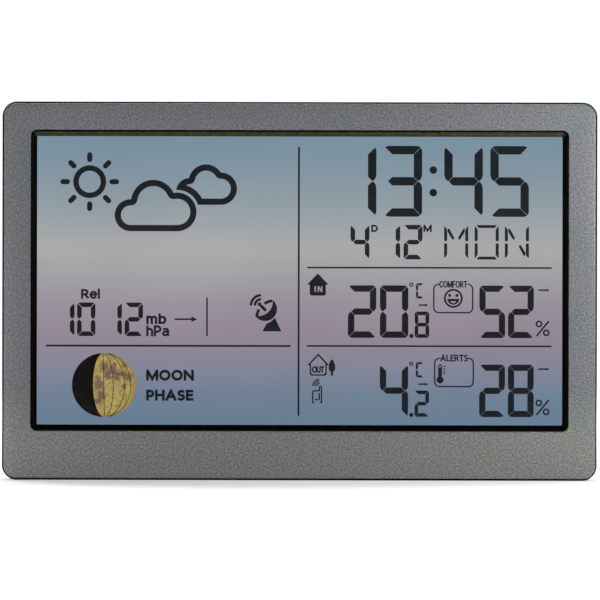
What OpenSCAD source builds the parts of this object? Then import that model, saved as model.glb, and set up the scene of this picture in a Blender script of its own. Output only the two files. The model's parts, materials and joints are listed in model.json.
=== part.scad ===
// Home weather station: a colour-backlit LCD console with a fold-out rear stand.
// Millimetres. X to the right seen from the front, Y from front to back, Z up.
// Origin: middle of the flat underside, on the surface that it stands on.

/* [Case] */
// Width of the case
body_w = 195; // [194:1:204]
// Height of the case
body_h = 124; // [123:1:128]
// Depth of the case from the front face to the rear face
body_d = 26; // [26:0.5:30]
// Radius of the four case corners, seen from the front
corner_r = 4.8; // [4.5:0.1:6]
// Rounding along the rear edges
rear_round = 3; // [2:0.5:3]
// Wall thickness of the rear shell's sides
wall = 2.0; // [1.8:0.1:2.2]
// Thickness of the rear face
rear_wall = 2.2; // [2:0.1:2.2]
// How far the rear shell stands proud of the front frame all round
rim_step = 0.4; // [0.2:0.1:0.6]

/* [Front frame] */
// Frame width at the left and right of the window trim
frame_side = 9.4; // [9.2:0.1:10]
// Frame width above the window trim
frame_top = 9.3; // [9.2:0.1:10]
// Frame width below the window trim
frame_chin = 16.1; // [16:0.1:17]
// Thickness of the frame's face
face_t = 2.5; // [2.3:0.1:2.7]
// Rounding of the frame's front edge
face_round = 0.9; // [0.5:0.1:1.2]
// Width of the black trim, seen from the front
trim_w = 2.05; // [1.8:0.05:2.1]

/* [Rear stand] */
// Width of the stand at its hinge
stand_w = 59.8; // [56:0.2:60]
// Width of the stand at its toe
stand_toe_w = 46; // [40:1:50]
// Length from the hinge axis to the toe
stand_l = 41.5; // [38:0.5:42]
// Thickness of the stand
stand_t = 3.2; // [2.8:0.1:3.3]
// Radius of the moulded hinge stubs
stub_r = 1.2; // [1:0.1:1.3]

/* [Buttons] */
// Distance of each button column from the middle
column_x = 66; // [65:1:68]
// Height of the lowest rear button
button_z0 = 46; // [45:1:48]
// Spacing of the rear buttons
button_pitch = 13.5; // [12:0.5:14]
// Radius of a rear button
button_r = 4.0; // [3.5:0.1:4.2]
// Length of the snooze button
snooze_w = 44; // [36:1:50]

/* [Hidden] */
$fn = 48;
eps = 0.01;
gap = 0.05; // between parts that rest on each other
draft = 0.04; // moulding draft of the rear shell, over its depth

// Depth planes, from front to back
y_front = -body_d / 2;
y_back = body_d / 2;
y_seam = y_front + face_t;
y_spigot = y_seam + 4;
y_in = y_back - rear_wall; // inner side of the rear face

// Window and display, centred above the taller chin
opening_w = body_w - 2 * frame_side;
opening_h = body_h - frame_top - frame_chin;
view_w = opening_w - 2 * trim_w;
view_h = opening_h - 2 * trim_w;
view_z = frame_chin + opening_h / 2;
opening_r = 2.1;

// Rear shell interior and the frame's spigot that enters it
in_w = body_w - 2 * wall;
in_h = body_h - 2 * wall;
spigot_w = in_w - 0.4;
spigot_h = in_h - 0.4;
spigot_t = 1.6;

// LCD stack
bezel_y0 = y_front + 0.2;
bezel_lip = 1.6; // depth of the bezel's visible bevel
flange_t = 0.8;
flange_out = 2.4; // how far the bezel's flange reaches behind the frame
lens_t = 1.5;
lens_w = view_w + 2.3;
lens_h = view_h + 2.3;
lens_y0 = bezel_y0 + bezel_lip + gap;
film_t = 0.2;
glass_t = 1.1;
glass_w = view_w + 3.1;
glass_h = view_h + 5.9;
ledge = 3.25; // contact ledge of the front glass, top and bottom
polar_y0 = lens_y0 + lens_t + 0.15;
glass1_y0 = polar_y0 + film_t + gap;
glass2_y0 = glass1_y0 + glass_t + gap;
polar2_y0 = glass2_y0 + glass_t + gap;
diffuser_y0 = polar2_y0 + film_t + gap;
guide_y0 = diffuser_y0 + film_t + gap;
guide_t = 3.0;
guide_w = view_w + 1.7;
guide_h = view_h + 0.3;
reflector_y0 = guide_y0 + guide_t + gap;
board_y0 = reflector_y0 + film_t + 0.3;
board_t = 1.6;
board_y1 = board_y0 + board_t;

// Display holder: a ring round the glass, with ears on the chin
holder_in_w = glass_w + 2.6;
holder_in_h = glass_h + 0.6;
holder_w = holder_in_w + 3;
holder_h = holder_in_h + 5;
holder_y0 = glass1_y0;
holder_y1 = board_y0 - gap;
ear_z = 7.2;
ear_xs = [-70, 0, 70];
ear_y0 = y_seam + 3.4;
ear_t = 2.0;

// Case screws, from the rear into the frame's bosses
case_screw_r = 1.1;
corner_x = in_w / 2 - 3.7;
corner_z_top = body_h - 5.6;
corner_z_low = 5.6;
case_screws_at = [[-corner_x, corner_z_low], [corner_x, corner_z_low],
                  [-40, corner_z_low], [40, corner_z_low],
                  [-corner_x, corner_z_top], [corner_x, corner_z_top]];
boss_r = 2.2;
post_r = 2.9;
head_r = 2.1;
y_boss = y_seam + 7.7; // rear end of the frame's bosses, behind the display holder

// Board and its screws along the holder's two rails
main_w = glass_w;
main_h = holder_h;
rail_z = (holder_in_h + holder_h) / 4;
board_screw_xs = [-72, -24, 24, 72];

// Battery bay: three AAA cells lying side by side
cell_r = 5.25;
cell_l = 44.5;
nub_l = 0.8;
nub_r = 1.9;
cell_pitch = 10.9;
cell_count = 3;
bay_w = 50.4;
bay_h = cell_pitch * (cell_count - 1) + 2 * cell_r + 1.1;
bay_z = 60 + bay_h / 2;
bay_wall = 1.4;
bay_y0 = board_y1 + 0.6;
cell_y = bay_y0 + bay_wall + cell_r + 0.1;
door_t = 1.6;
door_w = bay_w + 2.2;
door_h = bay_h + 2.2;
door_gap = 0.2;
door_z0 = bay_z - door_h / 2;
tab_w = 6;
tab_t = 1.3;
tab_y0 = y_back - door_t - tab_t;
tab_xs = [-15, 15];
contact_t = 0.4;
lug_x = bay_w / 2 + bay_wall + 2.2;
lug_y = cell_y - 2.5;

// Rear stand
stand_z = 10.5;
stand_y = y_back - 0.1 - stand_t / 2;
pocket_gap = 0.4;
pocket_y0 = stand_y - stand_t / 2 - 0.5;
pocket_wall = 1.6;
stub_l = 2.3;
pocket_side_wall = 2.6;

// Keys
column_recess = 0.8;
column_w = 2 * button_r + 4;
column_h = 3 * button_pitch + column_w;
cap_top = y_back - 0.2;
flange_r = button_r + 1;
key_gap = 0.2;
key_travel = 0.6;
key_flange_y1 = y_back - rear_wall - key_gap;
key_flange_t = 1.0;
key_stem_r = 1.5;
key_stem_y0 = key_flange_y1 - key_flange_t - 0.7;
switch_size = 6;
switch_body_t = 3.5;
plunger_r = 1.7;
plunger_t = 0.8;
key_board_t = 1.6;
plunger_top = key_stem_y0 - key_travel - 0.1;
switch_y0 = plunger_top - plunger_t - switch_body_t;
key_board_y0 = switch_y0 - key_board_t;
key_board_w = 16;
key_board_z0 = 24;
key_board_z1 = button_z0 + 3 * button_pitch + 14;
slide_z = 31;
knob_travel = 3;
button_zs = [for (i = [0:3]) button_z0 + i * button_pitch];

// Snooze key on the top edge
snooze_y = 4;
snooze_d = 8;
snooze_travel = 0.8;

// Buzzer, above the right-hand key board
buzzer_r = 7;
buzzer_z = key_board_z1 + buzzer_r + 2;

// Wall keyholes
keyhole_x = 45;
keyhole_z = 104;
keyhole_r = 4.2;
keyhole_slot_r = 2.1;
keyhole_rise = 7;

// Power inlet on the right-hand side, seen from the front
jack_z = 26.5;
jack_y = board_y1 + gap + 4.5;
jack_d = 9;
jack_l = 12;
jack_bore_r = 2.1;
inlet_r = 3.4; // opening in the case for the plug's moulded body

// ---------- shared shapes ----------

// Rounded rectangle with true arcs
module rounded_rect(w, h, r) {
    square([w - 2 * r, h], center = true);
    square([w, h - 2 * r], center = true);
    for (x = [-1, 1], z = [-1, 1])
        translate([x * (w / 2 - r), z * (h / 2 - r)]) circle(r);
}

// Extrudes a drawing made in X and Z from depth y0 to depth y1
module depth_extrude(y0, y1) {
    translate([0, y1, 0]) rotate([90, 0, 0]) linear_extrude(y1 - y0) children();
}

// Rounded plate across the object, centred on x, z
module slab(w, h, r, y0, y1, x = 0, z = 0) {
    depth_extrude(y0, y1) translate([x, z]) rounded_rect(w, h, r);
}

// Box given by its limits
module block(x, y, z) {
    translate([x[0], y[0], z[0]]) cube([x[1] - x[0], y[1] - y[0], z[1] - z[0]]);
}

module rod_x(r, x0, x1, y, z) {
    translate([x0, y, z]) rotate([0, 90, 0]) cylinder(r = r, h = x1 - x0);
}

module rod_y(r, y0, y1, x, z) {
    translate([x, y0, z]) rotate([-90, 0, 0]) cylinder(r = r, h = y1 - y0);
}

module rod_z(r, z0, z1, x, y) {
    translate([x, y, z0]) cylinder(r = r, h = z1 - z0);
}

// Wire through a list of points, with ball corners
module wire(points, r) {
    for (i = [0:len(points) - 2]) {
        step = points[i + 1] - points[i];
        translate(points[i])
            rotate([0, acos(step[2] / norm(step)), atan2(step[1], step[0])])
                cylinder(r = r, h = norm(step), $fn = 16);
        if (i > 0) translate(points[i]) sphere(r = r + 0.03, $fn = 16);
    }
}

// Pan-head screw along Y with its head at depth y_head and its tip towards the front
module pan_screw(x, z, y_head, head_r, head_t, shank_r, shank_l) {
    difference() {
        union() {
            rod_y(head_r, y_head, y_head + head_t, x, z);
            rod_y(shank_r, y_head - shank_l, y_head + eps, x, z);
        }
        for (turn = [0, 90])
            translate([x, y_head + head_t, z]) rotate([0, turn, 0])
                cube([head_r * 1.1, head_t, head_r * 0.28], center = true);
    }
}

// ---------- front shell and display ----------

module front_frame() {
    w = body_w - 2 * rim_step;
    h = body_h - 2 * rim_step;
    z = body_h / 2;
    steps = 5;
    color("dimgray") difference() {
        union() {
            hull() {
                for (i = [0:steps]) {
                    a = 90 * i / steps;
                    inset = face_round * (1 - sin(a));
                    y = y_front + face_round * (1 - cos(a));
                    slab(w - 2 * inset, h - 2 * inset, corner_r - rim_step - inset / 2, y, y + eps, z = z);
                }
                slab(w, h, corner_r - rim_step, y_seam - eps, y_seam, z = z);
            }
            difference() {
                slab(spigot_w, spigot_h, corner_r - wall, y_seam - 0.5, y_spigot, z = z);
                slab(spigot_w - 2 * spigot_t, spigot_h - 2 * spigot_t, 1.5, y_seam - 1, y_spigot + 1, z = z);
            }
            for (p = case_screws_at) rod_y(boss_r, y_seam - 0.5, y_boss, p[0], p[1]);
            for (x = ear_xs) rod_y(boss_r + 0.4, y_seam - 0.5, ear_y0 - gap, x, ear_z);
        }
        slab(opening_w, opening_h, opening_r, y_front - 1, y_seam + 1, z = view_z);
        for (p = case_screws_at) rod_y(case_screw_r + 0.02, y_front + 1.2, y_boss + 1, p[0], p[1]);
        for (x = ear_xs) rod_y(case_screw_r + 0.02, y_front + 1.2, y_boss, x, ear_z);
    }
}

module display_bezel() {
    out_w = opening_w - 0.2;
    out_h = opening_h - 0.2;
    wall_w = lens_w + 0.2;
    wall_h = lens_h + 0.2;
    slope = trim_w - 0.5;
    color("black") difference() {
        union() {
            slab(out_w, out_h, opening_r - 0.1, bezel_y0, y_seam + flange_t, z = view_z);
            slab(out_w + 2 * flange_out, out_h + 2 * flange_out, 2.5, y_seam + gap, y_seam + flange_t,
                 z = view_z);
        }
        hull() {
            slab(view_w + 2 * slope, view_h + 2 * slope, opening_r - 0.4, bezel_y0 - eps, bezel_y0,
                 z = view_z);
            slab(view_w, view_h, 0.5, bezel_y0 + bezel_lip - 0.4, bezel_y0 + bezel_lip, z = view_z);
        }
        slab(view_w, view_h, 0.5, bezel_y0 + 0.5, y_seam + 3, z = view_z);
        slab(wall_w, wall_h, 1.2, bezel_y0 + bezel_lip, y_seam + 3, z = view_z);
    }
}

module window_lens() {
    color([0.85, 0.9, 0.95, 0.25]) slab(lens_w, lens_h, 1.1, lens_y0, lens_y0 + lens_t, z = view_z);
}

module sheet(w, h, y0, t) {
    block([-w / 2, w / 2], [y0, y0 + t], [view_z - h / 2, view_z + h / 2]);
}

module front_polariser() {
    color("slategray") sheet(view_w + 1.8, view_h + 1.8, polar_y0, film_t);
}

module lcd_front_glass() {
    color("lightsteelblue") sheet(glass_w, glass_h, glass1_y0, glass_t);
}

module lcd_rear_glass() {
    color("lightsteelblue") sheet(glass_w, glass_h - 2 * ledge, glass2_y0, glass_t);
}

module rear_polariser() {
    color("slategray") sheet(guide_w, guide_h - 2, polar2_y0, film_t);
}

module diffuser_film() {
    color("white") sheet(guide_w, guide_h, diffuser_y0, film_t);
}

module light_guide() {
    color("aliceblue") sheet(guide_w, guide_h, guide_y0, guide_t);
}

module reflector_film() {
    color("white") sheet(guide_w, guide_h, reflector_y0, film_t);
}

led_board_t = 0.8;
led_t = 0.75;
led_x = guide_w / 2 + gap;
led_zs = [for (i = [-3:3]) view_z + i * 12];

module led_boards() {
    color("ivory")
        for (s = [-1, 1])
            translate([s * (led_x + led_t + led_board_t / 2), guide_y0 + guide_t / 2, view_z])
                cube([led_board_t, guide_t, guide_h - 12], center = true);
}

module backlight_leds() {
    color("khaki")
        for (s = [-1, 1], z = led_zs)
            translate([s * (led_x + led_t / 2), guide_y0 + guide_t / 2, z])
                cube([led_t - 0.02, 1.4, 3], center = true);
}

module display_holder() {
    color("whitesmoke") difference() {
        union() {
            slab(holder_w, holder_h, 1, holder_y0, holder_y1, z = view_z);
            for (x = ear_xs)
                block([x - 5, x + 5], [ear_y0, ear_y0 + ear_t], [ear_z - 3, view_z - holder_h / 2 + 1]);
        }
        slab(holder_in_w, holder_in_h, 0.5, holder_y0 - 1, holder_y1 + 1, z = view_z);
        for (s = [-1, 1]) rod_y(boss_r + 0.3, holder_y0 - 1, holder_y1 + 1, s * corner_x, corner_z_top);
        for (x = ear_xs) rod_y(case_screw_r + 0.2, ear_y0 - 1, ear_y0 + ear_t + 1, x, ear_z);
        for (x = board_screw_xs, s = [-1, 1])
            rod_y(board_screw_r + 0.02, holder_y1 - 4, holder_y1 + 1, x, view_z + s * rail_z);
    }
}

module zebra_strips() {
    color("hotpink")
        for (s = [-1, 1])
            translate([0, (glass2_y0 + board_y0) / 2, view_z + s * (glass_h / 2 - ledge / 2 + 0.1)])
                cube([glass_w - 16, board_y0 - glass2_y0 - 0.02, 1.6], center = true);
}

// ---------- electronics ----------

board_screw_r = 0.7;

module main_board() {
    color("darkgreen") difference() {
        slab(main_w, main_h, 1, board_y0, board_y1, z = view_z);
        for (x = board_screw_xs, s = [-1, 1])
            rod_y(board_screw_r + 0.15, board_y0 - 1, board_y1 + 1, x, view_z + s * rail_z);
    }
}

y_comp = board_y1 + 0.02; // components stand on the board's rear face

module controller_chip() {
    color("black") translate([0, y_comp, 40]) rotate([-90, 0, 0])
        rotate_extrude() polygon([[0, 0], [9, 0], [8.4, 0.9], [6, 1.5], [0, 1.7]]);
}

module capacitors() {
    color("midnightblue") {
        rod_y(3.15, y_comp, y_comp + 7, 42, 30);
        rod_y(3.15, y_comp, y_comp + 7, 50, 30);
        rod_y(2.5, y_comp, y_comp + 5, 40, 20);
    }
}

module quartz_crystal() {
    color("silver") translate([-44, y_comp, 24]) {
        block([-5, 5], [0, 0.6], [-2.2, 2.2]);
        block([-4.2, 4.2], [0.5, 3.5], [-1.7, 1.7]);
    }
}

receiver_x = 42;

module radio_receiver() {
    color("seagreen") {
        block([receiver_x - 7, receiver_x + 7], [y_comp + 2.5, y_comp + 3.5], [52, 78]);
        block([receiver_x - 5, receiver_x + 5], [y_comp, y_comp + 2.6], [52.5, 55]);
        block([receiver_x - 3, receiver_x + 3], [y_comp + 3.4, y_comp + 4.6], [62, 68]);
    }
}

module radio_antenna() {
    x = receiver_x;
    y = y_comp + 4.2;
    color("orangered")
        wire([[x, y, 76], [x, y, 86], [x - 10, y + 2, 98], [x - 60, y + 2, 98], [x - 94, y + 2, 98]], 0.5);
}

rod_at = [-42, 5.2];
rod_r = 4;

module ferrite_rod() {
    color("dimgray") rod_z(rod_r, 36, 90, rod_at[0], rod_at[1]);
}

module antenna_coil() {
    color("peru") difference() {
        union() {
            rod_z(4.7, 54, 72, rod_at[0], rod_at[1]);
            for (z = [53, 72]) rod_z(5.3, z, z + 1, rod_at[0], rod_at[1]);
        }
        rod_z(rod_r + gap, 50, 80, rod_at[0], rod_at[1]);
    }
}

module pressure_sensor() {
    color("silver") {
        block([-62, -55], [y_comp, y_comp + 1], [13.5, 20.5]);
        difference() {
            rod_y(2.6, y_comp + 0.9, y_comp + 3.4, -58.5, 17);
            rod_y(0.5, y_comp + 2, y_comp + 4, -58.5, 17);
        }
    }
}

sensor_x = -84;
sensor_z = 19;
sensor_y1 = y_in - 3.4;

module climate_sensor() {
    color("seagreen") {
        block([sensor_x - 7, sensor_x + 7], [sensor_y1 - 1, sensor_y1], [sensor_z - 6, sensor_z + 10]);
        block([sensor_x - 2, sensor_x + 2], [sensor_y1 - eps, sensor_y1 + 1.2], [sensor_z - 2, sensor_z + 2]);
    }
}

module buzzer() {
    color("black") difference() {
        rod_y(buzzer_r, y_comp, y_comp + 4.5, column_x, buzzer_z);
        rod_y(1.2, y_comp + 1.5, y_comp + 5, column_x, buzzer_z);
    }
}

module power_jack() {
    x1 = in_w / 2 - 0.2;
    x0 = x1 - jack_l;
    color("black") {
        difference() {
            block([x0, x1], [board_y1 + gap, jack_y + jack_d / 2],
                  [jack_z - jack_d / 2, jack_z + jack_d / 2]);
            rod_x(jack_bore_r, x0 + 2, x1 + 1, jack_y, jack_z);
        }
        rod_x(0.65, x0 + 1, x1 - 1, jack_y, jack_z);
    }
}

module snooze_switch() {
    top = body_h - 5.8;
    color("silver") {
        block([-3, 3], [y_comp, y_comp + 4.5], [top - 4.3, top]);
        rod_z(1, top - eps, top + 0.4, 0, y_comp + 2.9);
    }
}

module key_board(s) {
    x = s * column_x;
    color("darkgreen") difference() {
        block([x - key_board_w / 2, x + key_board_w / 2], [key_board_y0, key_board_y0 + key_board_t],
              [key_board_z0, key_board_z1]);
        for (z = key_screw_zs)
            rod_y(board_screw_r + 0.2, key_board_y0 - 1, key_board_y0 + key_board_t + 1, x + s * 5, z);
    }
}

key_screw_zs = [key_board_z0 + 14, key_board_z1 - 3];

module key_board_left() {
    key_board(-1);
}

module key_board_right() {
    key_board(1);
}

module tact_switch(x, z) {
    y1 = switch_y0 + switch_body_t;
    translate([x, (switch_y0 + gap + y1) / 2, z])
        cube([switch_size, switch_body_t - gap, switch_size], center = true);
    rod_y(plunger_r, y1 - eps, plunger_top, x, z);
}

module tact_switches() {
    color("gray") for (s = [-1, 1], z = button_zs) tact_switch(s * column_x, z);
}

module slide_switches() {
    color("silver")
        for (s = [-1, 1])
            block([s * column_x - 2.2, s * column_x + 2.2], [switch_y0 + gap, switch_y0 + 4],
                  [slide_z - 4.3, slide_z + 4.3]);
}

// ---------- rear shell ----------

module shell_outer() {
    steps = 5;
    z = body_h / 2;
    hull() {
        slab(body_w - draft, body_h - draft, corner_r, y_seam + gap, y_seam + gap + eps, z = z);
        for (i = [0:steps]) {
            a = 90 * i / steps;
            inset = rear_round * (1 - cos(a));
            y = y_back - rear_round * (1 - sin(a));
            slab(body_w - 2 * inset, body_h - 2 * inset, corner_r - inset / 3, y - eps, y, z = z);
        }
    }
}

module shell_inner() {
    z = body_h / 2;
    slab(in_w, in_h, corner_r - wall, y_seam - 1, y_in - 2, z = z);
    slab(in_w - 3, in_h - 3, corner_r - wall - 1, y_in - 2.1, y_in, z = z);
}

// Trapezoid with rounded toe corners, from the hinge line upwards
module stand_outline(grow) {
    r = 4 + grow;
    toe = stand_toe_w / 2 + grow;
    root = stand_w / 2 + grow;
    top = stand_l + grow;
    arc = [for (i = [0:6]) [toe - r + r * cos(15 * i), top - r + r * sin(15 * i)]];
    right = concat([[root, 0], [root, 6]], arc);
    left = [for (i = [len(right) - 1:-1:0]) [-right[i][0], right[i][1]]];
    polygon(concat(right, left));
}

module stand_pocket() {
    depth_extrude(pocket_y0, y_back + 1) translate([0, stand_z]) {
        stand_outline(pocket_gap);
        translate([-stand_w / 2 - pocket_gap, -2.1]) square([stand_w + 2 * pocket_gap, 2.2]);
    }
}

module keyhole(x) {
    rod_y(keyhole_r, y_in - 1, y_back + 1, x, keyhole_z);
    rod_y(keyhole_slot_r, y_in - 1, y_back + 1, x, keyhole_z + keyhole_rise);
    block([x - keyhole_slot_r, x + keyhole_slot_r], [y_in - 1, y_back + 1],
          [keyhole_z, keyhole_z + keyhole_rise]);
}

module rear_cover() {
    z = body_h / 2;
    pocket_w = stand_w + 2 * pocket_gap + 2 * pocket_side_wall;
    vent_xs = [for (i = [-3:3]) sensor_x + 2.4 * i];
    color([0.09, 0.09, 0.1]) difference() {
        union() {
            difference() {
                shell_outer();
                shell_inner();
            }
            for (p = case_screws_at) rod_y(post_r, y_boss + 0.1, y_in + 1, p[0], p[1]);
            // battery bay
            block([-bay_w / 2 - bay_wall, bay_w / 2 + bay_wall], [bay_y0, y_in + 1],
                  [bay_z - bay_h / 2 - bay_wall, bay_z + bay_h / 2 + bay_wall]);
            // pocket that the stand folds into
            block([-pocket_w / 2, pocket_w / 2], [pocket_y0 - pocket_wall, y_in + 1],
                  [stand_z - 3.7, bay_z - bay_h / 2 - bay_wall + 1]);
            // posts for the two key boards
            for (s = [-1, 1], pz = key_screw_zs)
                rod_y(1.8, key_board_y0 + key_board_t + gap, y_in + 1, s * (column_x + 5), pz);
            // saddles for the ferrite rod
            for (sz = [40, 86])
                block([rod_at[0] - 4.5, rod_at[0] + 4.5], [rod_at[1] + 1.8, y_in + 1], [sz - 1, sz + 1]);
            // posts for the climate sensor
            for (px = [-5, 5]) rod_y(1.2, sensor_y1 + gap, y_in + 1, sensor_x + px, sensor_z + 8);
        }
        // battery bay hollow, door seat and pockets for the door's tabs
        block([-bay_w / 2, bay_w / 2], [bay_y0 + bay_wall, y_back + 1],
              [bay_z - bay_h / 2, bay_z + bay_h / 2]);
        block([-door_w / 2 - door_gap, door_w / 2 + door_gap], [y_back - door_t - 0.1, y_back + 1],
              [door_z0 - door_gap, door_z0 + door_h + door_gap]);
        for (s = [-1, 1])
            block([s * (bay_w / 2 + bay_wall / 2) - bay_wall, s * (bay_w / 2 + bay_wall / 2) + bay_wall],
                  [lug_y - 0.15, lug_y + contact_t + 0.15],
                  [bay_z - s * cell_pitch - 1.7, bay_z - s * cell_pitch + 1.7]);
        for (x = tab_xs)
            block([x - tab_w / 2 - 0.4, x + tab_w / 2 + 0.4], [tab_y0 - 1.1, y_back - door_t + 0.15],
                  [bay_z - bay_h / 2 - 3.6, bay_z - bay_h / 2 + 1]);
        // stand pocket, stub sockets and finger scoop
        stand_pocket();
        rod_x(stub_r + 0.05, -stand_w / 2 - pocket_gap - stub_l, stand_w / 2 + pocket_gap + stub_l,
              stand_y, stand_z);
        translate([0, y_back + 3.2, stand_z + stand_l + pocket_gap]) sphere(r = 6);
        rod_z(rod_r + gap, 30, 96, rod_at[0], rod_at[1]);
        // screw holes
        for (p = case_screws_at) {
            rod_y(case_screw_r + 0.2, y_boss - 1, y_back + 1, p[0], p[1]);
            rod_y(head_r + 0.2, y_boss + 1.6, y_back + 1, p[0], p[1]);
        }
        for (s = [-1, 1], pz = key_screw_zs)
            rod_y(board_screw_r + 0.02, key_board_y0, key_board_y0 + key_board_t + 5, s * (column_x + 5), pz);
        // button columns, their shallow recess and the slide slots
        for (s = [-1, 1]) {
            slab(column_w, column_h, column_w / 2 - 0.2, y_back - column_recess, y_back + 1, x = s * column_x,
                 z = button_z0 + 1.5 * button_pitch);
            for (bz = button_zs) rod_y(button_r + 0.2, y_in - 1, y_back + 1, s * column_x, bz);
            slab(6.4, knob_travel + 6.4, 1.2, y_back - column_recess, y_back + 1, x = s * column_x,
                 z = slide_z);
            block([s * column_x - 1.7, s * column_x + 1.7], [y_in - 1, y_back + 1],
                  [slide_z - knob_travel / 2 - 1.7, slide_z + knob_travel / 2 + 1.7]);
        }
        // snooze key opening
        slab_top(snooze_w + 0.4, snooze_d + 0.4, 1.7, in_h + wall - 1, body_h + 1);
        // wall keyholes
        for (s = [-1, 1]) keyhole(s * keyhole_x);
        // power inlet
        rod_x(inlet_r, in_w / 2 - 1, body_w / 2 + 1, jack_y, jack_z);
        // vents behind the climate sensor, and sound holes over the buzzer
        for (x = vent_xs)
            block([x - 0.6, x + 0.6], [y_in - 1, y_back + 1], [sensor_z - 6, sensor_z + 6]);
        for (i = [0:5])
            rod_y(0.7, y_in - 1, y_back + 1, column_x + 2.8 * cos(60 * i), buzzer_z + 2.8 * sin(60 * i));
        rod_y(0.7, y_in - 1, y_back + 1, column_x, buzzer_z);
    }
}

// Rounded plate lying flat, centred on the snooze key
module slab_top(w, d, r, z0, z1) {
    translate([0, snooze_y, z0]) linear_extrude(z1 - z0) rounded_rect(w, d, r);
}

module case_screws() {
    color("darkgray")
        for (p = case_screws_at) pan_screw(p[0], p[1], y_boss + 1.65, head_r, 1.4, case_screw_r, 6.5);
}

module holder_screws() {
    color("darkgray")
        for (x = ear_xs) pan_screw(x, ear_z, ear_y0 + ear_t + 0.02, head_r, 1.4, case_screw_r, 5);
}

module board_screws() {
    color("darkgray")
        for (x = board_screw_xs, s = [-1, 1])
            pan_screw(x, view_z + s * rail_z, board_y1 + 0.02, 1.4, 0.9, board_screw_r, 4.5);
}

module key_board_screws() {
    color("darkgray")
        for (s = [-1, 1], z = key_screw_zs)
            translate([s * (column_x + 5), key_board_y0, z]) mirror([0, 1, 0])
                pan_screw(0, 0, 0.02, 1.4, 0.9, board_screw_r, 5);
}

// ---------- battery bay ----------

module battery_door() {
    z1 = door_z0 + door_h;
    tongue_w = 13;
    tongue_l = 9;
    slot = 0.8;
    color([0.09, 0.09, 0.1]) difference() {
        union() {
            block([-door_w / 2, door_w / 2], [y_back - door_t, y_back], [door_z0, z1]);
            for (x = tab_xs) {
                block([x - tab_w / 2, x + tab_w / 2], [tab_y0, y_back - door_t - 0.05],
                      [door_z0 - 1.9, door_z0 + 1.5]);
                block([x - tab_w / 2, x + tab_w / 2], [tab_y0, y_back - door_t + 0.2],
                      [door_z0 + 0.2, door_z0 + 1.5]);
            }
        }
        for (s = [-1, 1])
            block([s * tongue_w / 2 - slot / 2, s * tongue_w / 2 + slot / 2],
                  [y_back - door_t - 1, y_back + 1],
                  [z1 - tongue_l, z1 + 1]);
        // thumb grooves on the latch tongue
        for (i = [0:3])
            block([-tongue_w / 2 + 1.4, tongue_w / 2 - 1.4], [y_back - 0.4, y_back + 1],
                  [z1 - 2.2 - 1.8 * i, z1 - 1.3 - 1.8 * i]);
    }
}

// Which way each cell's positive end points
function cell_way(i) = i % 2 == 0 ? 1 : -1;
function cell_z(i) = bay_z + (i - (cell_count - 1) / 2) * cell_pitch;
cell_tip = bay_w / 2 - contact_t - 0.1;

module batteries() {
    color("goldenrod")
        for (i = [0:cell_count - 1]) {
            mirror([cell_way(i) < 0 ? 1 : 0, 0, 0]) {
                rod_x(nub_r, cell_tip - nub_l - 0.1, cell_tip, cell_y, cell_z(i));
                rod_x(cell_r, cell_tip - cell_l, cell_tip - nub_l, cell_y, cell_z(i));
            }
        }
}

// Contact plate at the side s of the bay, from cell i to cell j; an end plate has a solder lug
// through the wall
module contact_plate(s, i, j) {
    mirror([s < 0 ? 1 : 0, 0, 0]) {
        block([bay_w / 2 - contact_t, bay_w / 2 - 0.02], [cell_y - 4.5, cell_y + 4.5],
              [cell_z(i) - 4.5, cell_z(j) + 4.5]);
        if (i == j)
            block([bay_w / 2 - 0.1, lug_x], [lug_y, lug_y + contact_t], [cell_z(i) - 1.5, cell_z(i) + 1.5]);
    }
}

module battery_contacts() {
    color("silver") {
        contact_plate(1, 0, 0);
        contact_plate(1, 1, 2);
        contact_plate(-1, 0, 1);
        contact_plate(-1, 2, 2);
    }
}

spring_l = bay_w - 2 * contact_t - cell_l - 0.5;

module battery_spring() {
    wire_r = 0.35;
    turns = 3;
    step = (spring_l - 2 * wire_r) / (turns - 1);
    for (i = [0:turns - 1])
        translate([wire_r + i * step, 0, 0]) rotate([0, 90, 0])
            rotate_extrude() translate([3.6 - 0.7 * i, 0]) circle(r = wire_r, $fn = 16);
    translate([wire_r, 3.6, 0])
        rotate([0, 0, atan2(-0.7 * (turns - 1), step * (turns - 1))]) rotate([0, 90, 0])
            cylinder(r = 0.3, h = norm([step * (turns - 1), 0.7 * (turns - 1)]), $fn = 16);
}

module battery_springs() {
    color("silver")
        for (i = [0:cell_count - 1])
            mirror([cell_way(i) > 0 ? 0 : 1, 0, 0])
                translate([-bay_w / 2 + contact_t + 0.06, cell_y, cell_z(i)]) battery_spring();
}

// ---------- stand ----------

module table_stand() {
    y0 = stand_y - stand_t / 2;
    y1 = stand_y + stand_t / 2;
    color([0.09, 0.09, 0.1]) difference() {
        union() {
            depth_extrude(y0, y1) translate([0, stand_z]) stand_outline(0);
            rod_x(stand_t / 2 + 0.05, -stand_w / 2, stand_w / 2, stand_y, stand_z);
            rod_x(stub_r, -stand_w / 2 - stub_l, stand_w / 2 + stub_l, stand_y, stand_z);
        }
        // open middle, which leaves a U-shaped leg
        slab(26, 17, 3, y0 - 1, y1 + 1, z = stand_z + 17);
        // seat for the toe pad
        slab(pad_w + 0.1, pad_h + 0.1, 1.5, y1 - 0.8, y1 + 1, z = pad_z);
    }
}

pad_w = 30;
pad_h = 6;
pad_z = stand_z + stand_l - 6;

module stand_pad() {
    color([0.05, 0.05, 0.05])
        slab(pad_w, pad_h, 1.45, stand_y + stand_t / 2 - 0.78, y_back, z = pad_z);
}

// ---------- keys ----------

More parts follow.
